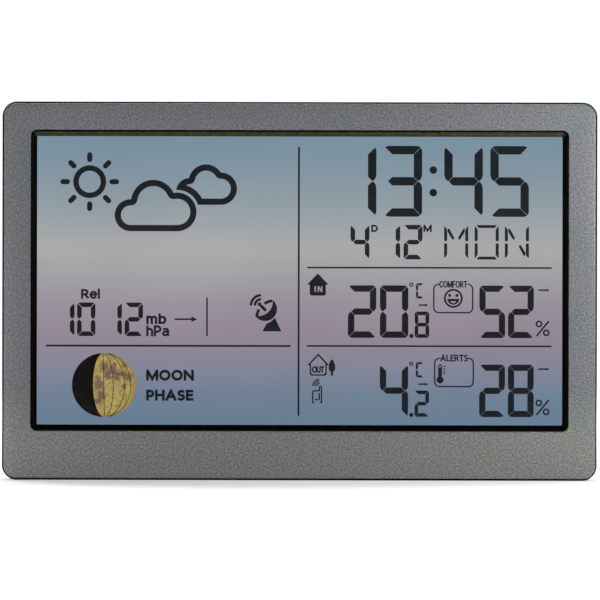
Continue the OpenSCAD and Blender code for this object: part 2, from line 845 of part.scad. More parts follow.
module rear_button(s, i) {
    x = s * column_x;
    z = button_zs[i];
    color([0.13, 0.13, 0.14]) {
        rod_y(button_r, key_flange_y1 - 0.1, cap_top, x, z);
        rod_y(flange_r, key_flange_y1 - key_flange_t, key_flange_y1, x, z);
        rod_y(key_stem_r, key_stem_y0, key_flange_y1 - 0.1, x, z);
    }
}

module mode_button() { rear_button(-1, 3); }
module set_button() { rear_button(-1, 2); }
module up_button() { rear_button(-1, 1); }
module down_button() { rear_button(-1, 0); }
module alarm_button() { rear_button(1, 3); }
module history_button() { rear_button(1, 2); }
module channel_button() { rear_button(1, 1); }
module pressure_button() { rear_button(1, 0); }

module slide_knob(s) {
    x = s * column_x;
    z = slide_z - knob_travel / 2;
    color([0.2, 0.2, 0.21]) difference() {
        block([x - 1.5, x + 1.5], [switch_y0 + 4.1, cap_top], [z - 1.5, z + 1.5]);
        for (i = [-1, 1])
            block([x - 2, x + 2], [cap_top - 0.35, cap_top + 1], [z + 0.75 * i - 0.25, z + 0.75 * i + 0.25]);
    }
}

module unit_knob() { slide_knob(-1); }
module dimmer_knob() { slide_knob(1); }

module snooze_button() {
    top = in_h + wall - 0.2;
    color([0.13, 0.13, 0.14]) {
        slab_top(snooze_w, snooze_d, 1.5, top - 0.5, body_h);
        slab_top(snooze_w + 2.4, snooze_d + 1.4, 1.5, top - 1.2, top);
        block([-4, 4], [snooze_y - 3.6, snooze_y - 0.6], [top - 2.3, top - 1.1]);
    }
}

// ---------- wiring ----------

module battery_wires() {
    wire_r = 0.6;
    y = lug_y - wire_r - 0.02;
    z0 = bay_z - bay_h / 2 - bay_wall - 7;
    for (s = [-1, 1])
        color(s > 0 ? "red" : "black")
            wire([[s * (lug_x - 1), y, bay_z - s * cell_pitch + 1], [s * (lug_x - 1), y, z0],
                  [s * 20, y_comp + wire_r + 0.05, z0 - 6]], wire_r);
}

module ribbon_cables() {
    color("lightgray")
        for (s = [-1, 1])
            block([s * 60 - 3.5, s * 60 + 3.5], [board_y1 + gap, key_board_y0 - gap],
                  [key_board_z0 + 2, key_board_z0 + 2.8]);
}

module sensor_wires() {
    colours = ["yellow", "white", "blue"];
    for (i = [0:2])
        color(colours[i])
            wire([[sensor_x - 3 + 3 * i, sensor_y1 - 1.6, sensor_z + 4],
                  [sensor_x - 3 + 3 * i, sensor_y1 - 3, sensor_z + 12],
                  [sensor_x - 3 + 3 * i, board_y1 + 0.6, sensor_z + 20]], 0.45);
}

module led_wires() {
    y = guide_y0 + guide_t / 2;
    x = led_x + led_t + led_board_t / 2;
    drop = guide_h / 2 - 6 + gap;
    color("white")
        for (s = [-1, 1])
            wire([[s * x, y, view_z - drop], [s * x, y, view_z - drop - 7],
                  [s * (x - 4), board_y0 - 0.45, view_z - drop - 7]],
                 0.4);
}

front_frame();
display_bezel();
window_lens();
front_polariser();
lcd_front_glass();
lcd_rear_glass();
rear_polariser();
diffuser_film();
light_guide();
reflector_film();
led_boards();
backlight_leds();
display_holder();
zebra_strips();
main_board();
controller_chip();
capacitors();
quartz_crystal();
radio_receiver();
radio_antenna();
ferrite_rod();
antenna_coil();
pressure_sensor();
climate_sensor();
buzzer();
power_jack();
snooze_switch();
rear_cover();
battery_door();
batteries();
battery_contacts();
battery_springs();
table_stand();
stand_pad();
snooze_button();
mode_button();
set_button();
up_button();
down_button();
alarm_button();
history_button();
channel_button();
pressure_button();
unit_knob();
dimmer_knob();
key_board_left();
key_board_right();
tact_switches();
slide_switches();
case_screws();
board_screws();
holder_screws();
key_board_screws();
battery_wires();
ribbon_cables();
sensor_wires();
led_wires();
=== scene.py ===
import json
from math import atan2, cos, degrees, dist, hypot, pi, radians, sin, sqrt

import bmesh
import bpy
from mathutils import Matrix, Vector
from mathutils.geometry import tessellate_polygon


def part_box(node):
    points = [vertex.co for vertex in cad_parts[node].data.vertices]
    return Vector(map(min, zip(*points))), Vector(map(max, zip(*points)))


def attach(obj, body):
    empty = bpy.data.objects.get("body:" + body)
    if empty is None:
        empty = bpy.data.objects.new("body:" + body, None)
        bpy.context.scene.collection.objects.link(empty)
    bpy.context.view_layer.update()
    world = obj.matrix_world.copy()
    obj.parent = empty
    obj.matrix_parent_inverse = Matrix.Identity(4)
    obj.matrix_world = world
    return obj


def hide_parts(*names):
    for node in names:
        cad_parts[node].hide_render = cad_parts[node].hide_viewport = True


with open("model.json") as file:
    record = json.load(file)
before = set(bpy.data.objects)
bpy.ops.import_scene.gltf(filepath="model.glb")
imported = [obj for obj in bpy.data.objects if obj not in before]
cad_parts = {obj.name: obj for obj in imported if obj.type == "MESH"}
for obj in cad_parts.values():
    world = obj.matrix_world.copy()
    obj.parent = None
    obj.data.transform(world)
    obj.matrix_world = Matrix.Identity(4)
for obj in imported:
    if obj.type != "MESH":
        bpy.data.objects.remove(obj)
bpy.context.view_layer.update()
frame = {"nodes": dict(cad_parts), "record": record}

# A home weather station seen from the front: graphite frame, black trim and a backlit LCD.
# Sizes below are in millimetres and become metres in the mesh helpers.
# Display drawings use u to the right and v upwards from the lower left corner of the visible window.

MM = 0.001
SHARP = 35  # angle in degrees above which an edge stays crisp
WELD = 1e-7  # points nearer than this become one, in metres
CONSOLE = "console"


def box_mm(node):
    """A node's limits at rest in millimetres: [[x0, y0, z0], [x1, y1, z1]]."""
    low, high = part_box(node)
    return [[c / MM for c in low], [c / MM for c in high]]


FRAME_LOW, FRAME_HIGH = box_mm("front_frame")
SEAM_Y = box_mm("rear_cover")[0][1]  # where the rear shell meets the frame
BEZEL_LOW, BEZEL_HIGH = box_mm("display_bezel")
LENS_LOW, LENS_HIGH = box_mm("window_lens")
POLAR_Y = box_mm("front_polariser")[0][1]  # front face of the display

LENS_REBATE = 1.15  # how far the lens reaches behind the trim on each side
VIEW_W = LENS_HIGH[0] - LENS_LOW[0] - 2 * LENS_REBATE
VIEW_H = LENS_HIGH[2] - LENS_LOW[2] - 2 * LENS_REBATE
VIEW_Z = (LENS_LOW[2] + LENS_HIGH[2]) / 2
VIEW_X0 = -VIEW_W / 2
VIEW_Z0 = VIEW_Z - VIEW_H / 2
TRIM_W = 2.05
Y_FACE = FRAME_LOW[1]  # front face of the frame

# ---------------------------------------------------------------- meshes


def piece_from(name, solid, slot, sharp_deg=None, instead_of=None, body=CONSOLE, material=None):
    """A closed mesh piece from a solid's points in millimetres and its faces.

    It is smooth shaded and split at edges above sharp_deg, and takes the place of the CAD node instead_of.
    It has its slot's finish, unless another material is given.
    """
    verts, faces = solid
    mesh = bpy.data.meshes.new(name)
    mesh.from_pydata([[c * MM for c in v] for v in verts], [], faces)
    bm = bmesh.new()
    bm.from_mesh(mesh)
    bmesh.ops.remove_doubles(bm, verts=bm.verts, dist=WELD)
    bmesh.ops.recalc_face_normals(bm, faces=bm.faces)
    bm.to_mesh(mesh)
    bm.free()
    if sharp_deg is not None:
        mesh.polygons.foreach_set("use_smooth", [True] * len(mesh.polygons))
        mesh.set_sharp_from_angle(angle=radians(sharp_deg))
    obj = bpy.data.objects.new(name, mesh)
    bpy.context.scene.collection.objects.link(obj)
    mesh.materials.append(material or FINISHES[slot])
    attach(obj, body)
    if instead_of:
        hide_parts(instead_of)


def bow(cx, cz, rx, rz, start, end, steps=12):
    """Points on an ellipse's arc, with angles in degrees."""
    angles = [radians(start + (end - start) * i / steps) for i in range(steps + 1)]
    return [(cx + rx * cos(a), cz + rz * sin(a)) for a in angles]


def arc(cx, cz, r, start, end, steps):
    return bow(cx, cz, r, r, start, end, steps)


def circle(cx, cz, r, steps=32):
    return arc(cx, cz, r, 0, 360, steps)[:-1]


def rounded_rect(cx, cz, w, h, r, steps=8):
    """Rounded rectangle as points, always 4 * (steps + 1) of them, so that two of them can be joined."""
    points = []
    for sx, sz, start in ((1, 1, 0), (-1, 1, 90), (-1, -1, 180), (1, -1, 270)):
        points += arc(cx + sx * (w / 2 - r), cz + sz * (h / 2 - r), r, start, start + 90, steps)
    return points


def quarter(r, steps):
    """A quarter round as how far each point is in from the side and down from the top, side first."""
    turns = [radians(90 * i / steps) for i in range(steps + 1)]
    return [(r * (1 - cos(a)), r * (1 - sin(a))) for a in turns]


def loft(rings, closed_loop=False, ends=True):
    """Joins equal rings of 3-D points. closed_loop joins the last ring to the first, with no end faces."""
    n = len(rings[0])
    verts = [p for ring in rings for p in ring]
    faces = []
    pairs = len(rings) if closed_loop else len(rings) - 1
    for i in range(pairs):
        a, b = i * n, ((i + 1) % len(rings)) * n
        faces += [(a + j, a + (j + 1) % n, b + (j + 1) % n, b + j) for j in range(n)]
    if ends and not closed_loop:
        faces.append(tuple(range(n - 1, -1, -1)))
        faces.append(tuple(range(len(verts) - n, len(verts))))
    return verts, faces


def at_depth(outline, y):
    """Places an outline in X and Z at a depth."""
    return [(x, y, z) for x, z in outline]


def prism(outlines, y0, y1):
    """Closed solid between two depths from an outline and its holes."""
    flat = [[Vector((x, z, 0)) for x, z in line] for line in outlines]
    total = sum(len(line) for line in flat)
    triangles = tessellate_polygon(flat)
    verts = [(x, y0, z) for line in outlines for x, z in line]
    verts += [(x, y1, z) for line in outlines for x, z in line]
    faces = [tuple(t) for t in triangles] + [tuple(i + total for i in reversed(t)) for t in triangles]
    start = 0
    for line in outlines:
        n = len(line)
        for j in range(n):
            a, b = start + j, start + (j + 1) % n
            faces.append((a, b, b + total, a + total))
        start += n
    return verts, faces


def hoop(middle, side, along, r, steps):
    """Circle round the direction along, in space, that starts towards side."""
    other = along.cross(side)
    return [tuple(middle + side * u + other * v) for u, v in circle(0, 0, r, steps)]


def lathe(profile, centre, axis, steps=48):
    """Solid of revolution from (radius, distance along axis) points that start and end on the axis."""
    along = Vector(axis)
    side = along.orthogonal().normalized()
    return loft([hoop(Vector(centre) + along * d, side, along, r, steps) for r, d in profile], ends=False)


def tube(points, r, steps):
    """Round wire along 3-D points, with flat ends."""
    points = [Vector(p) for p in points]
    rings, side = [], None
    for i, p in enumerate(points):
        along = (points[min(i + 1, len(points) - 1)] - points[max(i - 1, 0)]).normalized()
        side = (side - along * side.dot(along) if side else along.orthogonal()).normalized()
        rings.append(hoop(p, side, along, r, steps))
    return loft(rings)


def merged(parts):
    """One list of points and faces from several."""
    verts, faces = [], []
    for v, f in parts:
        shift = len(verts)
        verts += v
        faces += [tuple(i + shift for i in face) for face in f]
    return verts, faces


# ---------------------------------------------------------------- materials


def srgb(r, g, b):
    """Linear colour from 0 to 255 screen values."""
    def linear(c):
        c /= 255
        return c / 12.92 if c <= 0.04045 else ((c + 0.055) / 1.055) ** 2.4
    return (linear(r), linear(g), linear(b), 1)


NOISE_RANGE = (0.3, 0.7)  # where most of a noise texture's values lie
DRIFT_MM = 14  # size of the slow colour drift in plastics


class Finish:
    """A node material with a Principled surface and short ways to vary it."""

    def __init__(self, name, colour, roughness, metallic=0.0, specular=0.5):
        self.material = bpy.data.materials.new(name)
        self.material.use_nodes = True
        self.nodes = self.material.node_tree.nodes
        self.surface = self.nodes["Principled BSDF"].inputs
        self.put(self.surface, {"Base Color": colour, "Roughness": roughness, "Metallic": metallic,
                                "Specular IOR Level": specular})
        self.place = self.nodes.new("ShaderNodeTexCoord").outputs["Object"]

    def put(self, sockets, values):
        """Feeds inputs by name or number, each from another node's socket or with a fixed value."""
        for key, value in values.items():
            if hasattr(value, "is_linked"):
                self.material.node_tree.links.new(value, sockets[key])
            else:
                sockets[key].default_value = value

    def node(self, kind, inputs=None, **settings):
        """Adds a shader node and returns its outputs."""
        made = self.nodes.new("ShaderNode" + kind)
        for key, value in settings.items():
            setattr(made, key, value)
        self.put(made.inputs, inputs or {})
        return made.outputs

    def axis(self, letter, source=None):
        """One coordinate of a vector: of the place on the object, unless given."""
        return self.node("SeparateXYZ", {0: source or self.place})[letter]

    def calc(self, operation, a, b):
        return self.node("Math", {0: a, 1: b}, operation=operation)[0]

    def noise(self, size_mm, detail=3.0, roughness=0.5, stretch=None):
        """Noise whose grains are about size_mm across; stretch squeezes it along each axis."""
        source = self.place
        if stretch:
            source = self.node("Mapping", {"Vector": source, "Scale": stretch})[0]
        look = {"Vector": source, "Scale": 1 / (size_mm * MM), "Detail": detail, "Roughness": roughness}
        return self.node("TexNoise", look)["Fac"]

    def between(self, factor, low, high, from_min=0.0, from_max=1.0):
        """A value that runs from low to high with the factor."""
        limits = {"From Min": from_min, "From Max": from_max, "To Min": low, "To Max": high}
        return self.node("MapRange", {"Value": factor, **limits})[0]

    def ramp(self, factor, stops):
        """A colour ramp from (position, colour) stops; colours of three values are screen colours."""
        made = self.nodes.new("ShaderNodeValToRGB")
        elements = made.color_ramp.elements
        while len(elements) < len(stops):
            elements.new(0.5)
        for element, (position, colour) in zip(elements, stops):
            element.position = position
            element.color = colour if len(colour) == 4 else srgb(*colour)
        self.put(made.inputs, {"Fac": factor})
        return made.outputs["Color"]

    def mix(self, factor, a, b, blend_type="MIX"):
        """Mixes two colours, whose sockets are a Mix node's inputs 6 and 7."""
        return self.node("Mix", {0: factor, 6: a, 7: b}, data_type="RGBA", blend_type=blend_type)[2]

    def colour(self, value):
        self.put(self.surface, {"Base Color": value})

    def glow(self, colour, strength=1.0):
        self.put(self.surface, {"Emission Color": colour, "Emission Strength": strength})
        return self.material

    def rough(self, factor, low, high):
        self.put(self.surface, {"Roughness": self.between(factor, low, high, *NOISE_RANGE)})

    def bump(self, height, depth_mm, strength, edge_mm=None):
        """Relief depth_mm deep; edge_mm also rounds the look of sharp edges. Returns the finished material."""
        relief = {"Distance": depth_mm * MM, "Strength": strength, "Height": height}
        if edge_mm:
            relief["Normal"] = self.node("Bevel", {"Radius": edge_mm * MM}, samples=6)[0]
        self.put(self.surface, {"Normal": self.node("Bump", relief)[0]})
        return self.material


def plastic(name, colour, roughness, grain_mm=0.35, relief_mm=0.02, vary=0.12, edge_mm=0.25, specular=0.5):
    """Moulded plastic: fine eroded texture, slow colour drift and uneven gloss."""
    made = Finish(name, colour, roughness, specular=specular)
    darker = tuple(c * (1 - vary) for c in colour[:3]) + (1,)
    lighter = tuple(min(1, c * (1 + vary)) for c in colour[:3]) + (1,)
    made.colour(made.ramp(made.noise(DRIFT_MM, 2), [(0.3, darker), (0.7, lighter)]))
    grain = made.noise(grain_mm, 3)
    made.rough(grain, roughness * 0.85, min(1, roughness * 1.15))
    return made.bump(grain, relief_mm, 0.6, edge_mm)


def metal(name, colour, roughness, grain_mm=0.3, edge_mm=0.1):
    """Plated or stamped metal with fine drawing lines and stains."""
    made = Finish(name, colour, roughness, metallic=1.0)
    darker = tuple(c * 0.72 for c in colour[:3]) + (1,)
    made.colour(made.ramp(made.noise(3, 4), [(0.32, darker), (0.62, colour)]))
    lines = made.noise(grain_mm, 2, stretch=(1, 1, 0.08))
    made.rough(lines, roughness * 0.7, min(1, roughness * 1.4))
    return made.bump(lines, 0.01, 0.5, edge_mm)


def circuit_board(name, colour):
    """Solder mask over copper tracks, as thin raised lanes."""
    made = Finish(name, colour, 0.35)
    upright = made.node("Mapping", {"Vector": made.place, "Rotation": (radians(90), 0, 0)})[0]
    lanes = made.node("TexBrick", {"Vector": upright, "Scale": 1 / (6 * MM), "Mortar Size": 0.06})["Fac"]
    lighter = tuple(min(1, c * 1.9) for c in colour[:3]) + (1,)
    made.colour(made.mix(lanes, colour, lighter))
    return made.bump(lanes, 0.05, 0.7, 0.1)


def window_share(made):
    """0 at the bottom of the visible window and 1 at its top."""
    return made.between(made.axis("Z"), 0, 1, VIEW_Z0 * MM, (VIEW_Z0 + VIEW_H) * MM)


# Screen colours of the lit display from its lower edge to its upper edge
BACKLIGHT = [
    (0.00, (103, 126, 150)), (0.10, (113, 130, 151)), (0.20, (134, 136, 153)), (0.30, (148, 136, 151)),
    (0.41, (155, 146, 158)), (0.53, (166, 164, 168)), (0.61, (173, 173, 173)), (0.68, (164, 166, 171)),
    (0.75, (150, 160, 168)), (0.87, (134, 151, 165)), (1.00, (121, 145, 160)),
]


def lit_display():
    """The LCD's clear area: the backlight's gradient with slight cloudiness at the edges."""
    made = Finish("lit_display", (0.002, 0.002, 0.002, 1), 0.4, specular=0.0)
    cloud = made.between(made.noise(45, 1), 0.97, 1.03, *NOISE_RANGE)
    return made.glow(made.ramp(window_share(made), BACKLIGHT), cloud)


def lcd_ink():
    """Driven segments: nearly black, and slightly tinted by the backlight behind them."""
    made = Finish("lcd_ink", (0.004, 0.005, 0.006, 1), 0.5, specular=0.0)
    leak, floor_level = 0.036, 0.002  # share of the backlight that passes a segment, and its own haze
    stops = [(p, tuple(c * leak + floor_level for c in srgb(*shade)[:3]) + (1,)) for p, shade in BACKLIGHT]
    uneven = made.between(made.noise(6, 2), 0.8, 1.2, *NOISE_RANGE)
    return made.glow(made.ramp(window_share(made), stops), uneven)


MOON_U, MOON_V, MOON_R = 22.15, 12.85, 10.5  # the moon drawing's middle and radius

# Dull patches on the moon picture: place from the visible window's lower left corner, and radius
MOON_SEAS = [(22.3, 18.9, 1.5), (23.9, 17.6, 1.7), (23.3, 15.9, 1.2), (26.1, 16.4, 1.5), (28.0, 16.6, 1.2),
             (29.9, 15.8, 1.4), (29.0, 19.3, 1.0), (20.3, 13.2, 1.5), (20.0, 15.2, 0.8), (21.0, 9.6, 1.4),
             (20.2, 7.7, 1.3), (28.6, 12.4, 0.7), (25.4, 19.6, 0.7)]


def moon_light():
    """The lit part of the moon picture: dull yellow with soft maroon patches and a warm rim."""
    made = Finish("moon_light", (0.004, 0.004, 0.004, 1), 0.5, specular=0.0)
    grit = made.noise(0.9, 4, 0.65)

    def away_from(u, v):
        middle = ((VIEW_X0 + u) * MM, POLAR_Y * MM, (VIEW_Z0 + v) * MM)
        return made.node("VectorMath", {0: made.place, 1: middle}, operation="DISTANCE")["Value"]

    cover = 0.0
    for u, v, r in MOON_SEAS:
        cover = made.calc("MAXIMUM", cover, made.between(away_from(u, v), 1, 0, r * 0.5 * MM, r * 1.6 * MM))
    ragged = made.calc("ADD", cover, made.between(made.noise(1.1, 4, 0.6), -0.5, 0.5, *NOISE_RANGE))
    where = made.between(ragged, 0, 0.95, 0.1, 0.8)
    light = made.ramp(grit, [(0.3, (146, 122, 64)), (0.5, (172, 152, 92)), (0.72, (190, 174, 112))])
    dark = made.ramp(grit, [(0.3, (98, 72, 68)), (0.7, (134, 104, 86))])
    rim_u, rim_v = 21.6, 13.0  # middle of the warm rim, a little left of the disc's
    rim = made.between(away_from(rim_u, rim_v), 0, 1, MOON_R * 0.85 * MM, MOON_R * 1.08 * MM)
    return made.glow(made.mix(rim, made.mix(where, light, dark), srgb(156, 126, 58)))


def moon_shade():
    """The unlit part of the moon picture."""
    made = Finish("moon_shade", (0.002, 0.002, 0.002, 1), 0.5, specular=0.0)
    stops = [(0.3, (8, 8, 14)), (0.55, (18, 14, 12)), (0.75, (36, 22, 14))]
    return made.glow(made.ramp(made.noise(1.8, 4), stops))


def window_clear():
    """Clear plastic window: mostly see-through, with a soft reflection that grows at grazing angles."""
    made = Finish("window_clear", (1, 1, 1, 1), 0.05)
    clear = made.node("BsdfTransparent", {"Color": (0.985, 0.992, 0.99, 1)})[0]
    wipe = made.between(made.noise(9, 5, 0.7), 0.03, 0.09, *NOISE_RANGE)
    gloss = made.node("BsdfGlossy", {"Roughness": wipe})[0]
    facing = made.node("Fresnel", {"IOR": 1.2})[0]
    blend = made.node("MixShader", {0: facing, 1: clear, 2: gloss})[0]
    made.put(made.nodes["Material Output"].inputs, {"Surface": blend})
    return made.material


def frame_paint():
    """Graphite paint with a fine metallic fleck and a slow drift between violet and green greys. Towards the
    bottom, below about 30 mm, it turns greener and lighter; the lightness is painted light from the floor
    below.
    """
    made = Finish("frame_paint", srgb(112, 114, 116), 0.45, metallic=0.2)
    slow = made.noise(18, 3, 0.6)
    upper_stops = [(0.35, (108, 114, 116)), (0.5, (113, 115, 117)), (0.65, (117, 113, 122))]
    upper = made.ramp(slow, upper_stops)
    # painted light: the lower part of the frame is painted lighter, standing in for light from the floor below
    lower = made.ramp(slow, [(0.35, (128, 133, 127)), (0.65, (132, 132, 128))])
    tone_with_painted_light = made.mix(made.between(made.axis("Z"), 1, 0, 14 * MM, 30 * MM), upper, lower)
    fleck = made.noise(0.62, 2, 0.75)
    sparkle_stops = [(0.3, (0.5, 0.5, 0.5, 1)), (0.5, (0.96, 0.96, 0.96, 1)), (0.7, (1.6, 1.6, 1.62, 1))]
    made.colour(made.mix(1.0, tone_with_painted_light, made.ramp(fleck, sparkle_stops), "MULTIPLY"))
    made.rough(fleck, 0.38, 0.55)
    return made.bump(fleck, 0.02, 0.5, 0.2)


def gloss_black():
    """Black moulding of the window trim; its upper bevel faces down, and there a warm olive sheen is painted
    into its colour as a painted reflection of the lit floor.
    """
    made = Finish("gloss_black", srgb(6, 6, 5), 0.26, specular=0.03)
    # painted reflection: faces that look down get a warm olive colour instead of black
    painted_sheen_mask = made.between(made.axis("Z", made.node("NewGeometry")["Normal"]), 0, 1, -0.25, -0.5)
    grain = made.noise(1.4, 3, 0.6)
    black = made.ramp(grain, [(0.35, (3, 3, 2)), (0.65, (9, 10, 6))])
    sheen = made.ramp(grain, [(0.35, (52, 49, 34)), (0.65, (68, 65, 48))])
    made.colour(made.mix(painted_sheen_mask, black, sheen))
    wipe = made.noise(5, 4, 0.7, stretch=(0.3, 1, 1))
    made.rough(wipe, 0.26, 0.42)
    return made.bump(wipe, 0.004, 0.4)


def cell_wrap():
    """Amber battery wrap with fine print lines and scuffs."""
    made = Finish("cell_wrap", srgb(186, 128, 46), 0.3, metallic=0.35)
    look = {"Vector": made.place, "Scale": 420, "Distortion": 0.4}
    lines = made.node("TexWave", look, wave_type="BANDS", bands_direction="X")["Fac"]
    made.colour(made.ramp(lines, [(0.2, (176, 116, 40)), (0.8, (196, 138, 56))]))
    scuff = made.noise(2.5, 4)
    made.rough(scuff, 0.22, 0.42)
    return made.bump(scuff, 0.01, 0.5, 0.2)


def shell_plastic():
    """Textured black plastic of the rear shell. Its thin rim at the seam is in shade, so it has no gloss."""
    made = Finish("black_shell", srgb(30, 30, 32), 0.5)
    made.colour(made.ramp(made.noise(DRIFT_MM, 2), [(0.3, (28, 28, 30)), (0.7, (34, 34, 36))]))
    gloss = made.between(made.axis("Y"), 0, 0.45, (SEAM_Y + 0.5) * MM, (SEAM_Y + 0.9) * MM)
    made.put(made.surface, {"Specular IOR Level": gloss})
    grain = made.noise(0.42, 3)
    made.rough(grain, 0.42, 0.58)
    return made.bump(grain, 0.045, 0.7)


# Finishes that share a slot with another
INK = lcd_ink()
MOON_LIGHT = moon_light()
MOON_SHADE = moon_shade()
MARKS = plastic("key_marks", srgb(196, 198, 200), 0.5, 0.2, 0.005, 0.05, 0.05)
WRAP_DARK = plastic("cell_band", srgb(24, 24, 26), 0.32, 0.4, 0.01, 0.1, 0.1)

# One finish for each of the record's material slots
FINISHES = {
    "frame_plastic": frame_paint(), "black_gloss": gloss_black(), "window_glass": window_clear(),
    "polariser_film": lit_display(), "black_shell": shell_plastic(), "cell_wrap": cell_wrap(),
    "circuit_board": circuit_board("circuit_board", srgb(18, 62, 40)),
}
for slot, shade, *texture in (  # slot, screen colour, roughness, then grain, relief, variation and edge
    ("key_plastic", (52, 53, 55), 0.42, 0.3, 0.015, 0.08, 0.15), ("white_plastic", (226, 226, 222), 0.45),
    ("pad_rubber", (20, 20, 20), 0.85, 0.25, 0.04, 0.15, 0.2), ("diffuser", (228, 230, 232), 0.6),
    ("lcd_glass", (150, 160, 166), 0.1, 2, 0.002, 0.04), ("reflector", (236, 236, 236), 0.3),
    ("acrylic", (214, 220, 224), 0.12, 2, 0.002, 0.04), ("led_body", (236, 222, 150), 0.3),
    ("potting", (20, 20, 20), 0.25, 1.5, 0.03), ("zebra_rubber", (206, 138, 150), 0.7),
    ("ferrite", (62, 62, 64), 0.6, 0.2, 0.02), ("cap_sleeve", (34, 40, 72), 0.3),
    ("orange_wire", (206, 96, 36), 0.4), ("battery_wire", (150, 24, 22), 0.4),
    ("moulded_black", (26, 26, 27), 0.5), ("ribbon", (176, 176, 172), 0.55),
    ("thin_wire", (224, 220, 206), 0.4),
):
    FINISHES[slot] = plastic(slot, srgb(*shade), *texture)
for slot, shade, roughness in (
    ("screw_steel", (170, 170, 172), 0.3), ("tin_plate", (215, 214, 208), 0.3),
    ("spring_steel", (205, 203, 196), 0.25), ("coil_wire", (176, 96, 44), 0.3),
    ("switch_metal", (190, 190, 190), 0.35),
):
    FINISHES[slot] = metal(slot, srgb(*shade), roughness)
FINISHES["sensor_board"] = FINISHES["circuit_board"]
FINISHES["white_board"] = FINISHES["white_plastic"]

# ---------------------------------------------------------------- front frame, trim and window


def window_ring(w, h, r, y, steps):
    """Rounded rectangle round the window's middle at a depth."""
    return at_depth(rounded_rect(0, VIEW_Z, w, h, r, steps), y)


def frame_moulding():
    """The frame as one ring: rounded front edges, a flat face and a softened inner edge."""
    rim_gap = 0.22  # the shell's rim shows this much wider all round
    w, h = FRAME_HIGH[0] - FRAME_LOW[0] - 2 * rim_gap, FRAME_HIGH[2] - FRAME_LOW[2] - 2 * rim_gap
    z = (FRAME_LOW[2] + FRAME_HIGH[2]) / 2
    outer_r, edge, inner_edge, thick = 4.2, 0.45, 0.25, 2.5
    open_w, open_h, open_r = VIEW_W + 2 * TRIM_W, VIEW_H + 2 * TRIM_W, 2.1
    corner = 16  # steps in each corner
    rings = [at_depth(rounded_rect(0, z, w, h, outer_r, corner), Y_FACE + thick)]
    for inset, y in quarter(edge, 8):
        outline = rounded_rect(0, z, w - 2 * inset, h - 2 * inset, outer_r - inset / 2, corner)
        rings.append(at_depth(outline, Y_FACE + y))
    for y, inset in quarter(inner_edge, 4):
        rings.append(window_ring(open_w + 2 * inset, open_h + 2 * inset, open_r + inset, Y_FACE + y, corner))
    rings.append(window_ring(open_w, open_h, open_r, Y_FACE + thick, corner))
    piece_from("front_frame_moulding", loft(rings, True), "frame_plastic", 40, "front_frame")


def window_trim():
    """The glossy black trim: a narrow flat edge, a bevel down to the window and a flange behind the frame."""
    y0, y1 = BEZEL_LOW[1], BEZEL_HIGH[1]
    full_w, full_h = VIEW_W + 2 * TRIM_W - 0.2, VIEW_H + 2 * TRIM_W - 0.2
    window_y = LENS_LOW[1] - 0.05
    wall = 0.5
    rings = [
        (full_w - 2 * wall, full_h - 2 * wall, 1.4, y0 + 0.02),
        (full_w - 0.24, full_h - 0.24, 1.9, y0),
        (full_w - 0.06, full_h - 0.06, 2.0, y0 + 0.06),
        (full_w, full_h, 2.0, y0 + 0.2),
        (full_w, full_h, 2.0, y1),
        (VIEW_W + 2.5, VIEW_H + 2.5, 1.2, y1),
        (VIEW_W + 2.5, VIEW_H + 2.5, 1.2, window_y),
        (VIEW_W, VIEW_H, 0.45, window_y),
        (VIEW_W, VIEW_H, 0.45, window_y - 0.3),
        (VIEW_W + 0.12, VIEW_H + 0.12, 0.5, window_y - 0.45),
    ]
    solid = loft([window_ring(*ring, 12) for ring in rings], True)
    piece_from("window_trim", solid, "black_gloss", SHARP, "display_bezel")


def window_pane():
    """The clear window with a fine chamfer all round."""
    w, h = LENS_HIGH[0] - LENS_LOW[0], LENS_HIGH[2] - LENS_LOW[2]
    c = 0.15
    rings = [(w - 2 * c, h - 2 * c, LENS_LOW[1]), (w, h, LENS_LOW[1] + c), (w, h, LENS_HIGH[1] - c),
             (w - 2 * c, h - 2 * c, LENS_HIGH[1])]
    solid = loft([window_ring(a, b, 1.1, y, 8) for a, b, y in rings])
    piece_from("window_pane", solid, "window_glass", 30, "window_lens")


# ---------------------------------------------------------------- drawings on the display

INK_BACK = POLAR_Y - 0.02
INK_T = 0.05
PICTURE_X0, PICTURE_Z0 = VIEW_X0 - 0.2, VIEW_Z0 + 0.1  # origin of the display's drawings


class Drawing:
    """Flat closed shapes on the display, gathered into one piece."""

    slot, body, shift = "polariser_film", CONSOLE, (0.0, 0.0)

    def __init__(self, name, material=INK, lift=0.0):
        self.name, self.material, self.parts = name, material, []
        self.depths = (INK_BACK - lift - INK_T, INK_BACK - lift)

    def placed(self, line):
        """Drawing coordinates to the frame's X and Z."""
        du, dv = self.shift
        return [(PICTURE_X0 + du + u, PICTURE_Z0 + dv + v) for u, v in line]

    def shape(self, outline, *holes):
        self.parts.append(prism([self.placed(line) for line in (outline, *holes)], *self.depths))

    def bar(self, u0, u1, v0, v1, r=0.0):
        if r:
            self.shape(rounded_rect((u0 + u1) / 2, (v0 + v1) / 2, u1 - u0, v1 - v0, r, 4))
        else:
            self.shape([(u0, v0), (u1, v0), (u1, v1), (u0, v1)])

    def line(self, points, width, round_ends=False):
        """A stroke of one width along the points, with mitred corners."""
        self.shape(stroke(points, width, round_ends))

    def loop(self, points, width):
        """A closed stroke, drawn as an outline with a hole."""
        n = len(points)
        sides = ([], [])
        for i in range(n):
            before, here, after = Vector(points[i - 1]), Vector(points[i]), Vector(points[(i + 1) % n])
            along = (after - before).normalized()
            out = Vector((along.y, -along.x)) * width / 2
            sides[0].append(tuple(here + out))
            sides[1].append(tuple(here - out))
        self.shape(*sides)

    def ring(self, u, v, r_out, width):
        self.shape(circle(u, v, r_out), circle(u, v, r_out - width))

    def disc(self, u, v, r):
        self.shape(circle(u, v, r))

    def build(self):
        piece_from(self.name, merged(self.parts), self.slot, body=self.body, material=self.material)


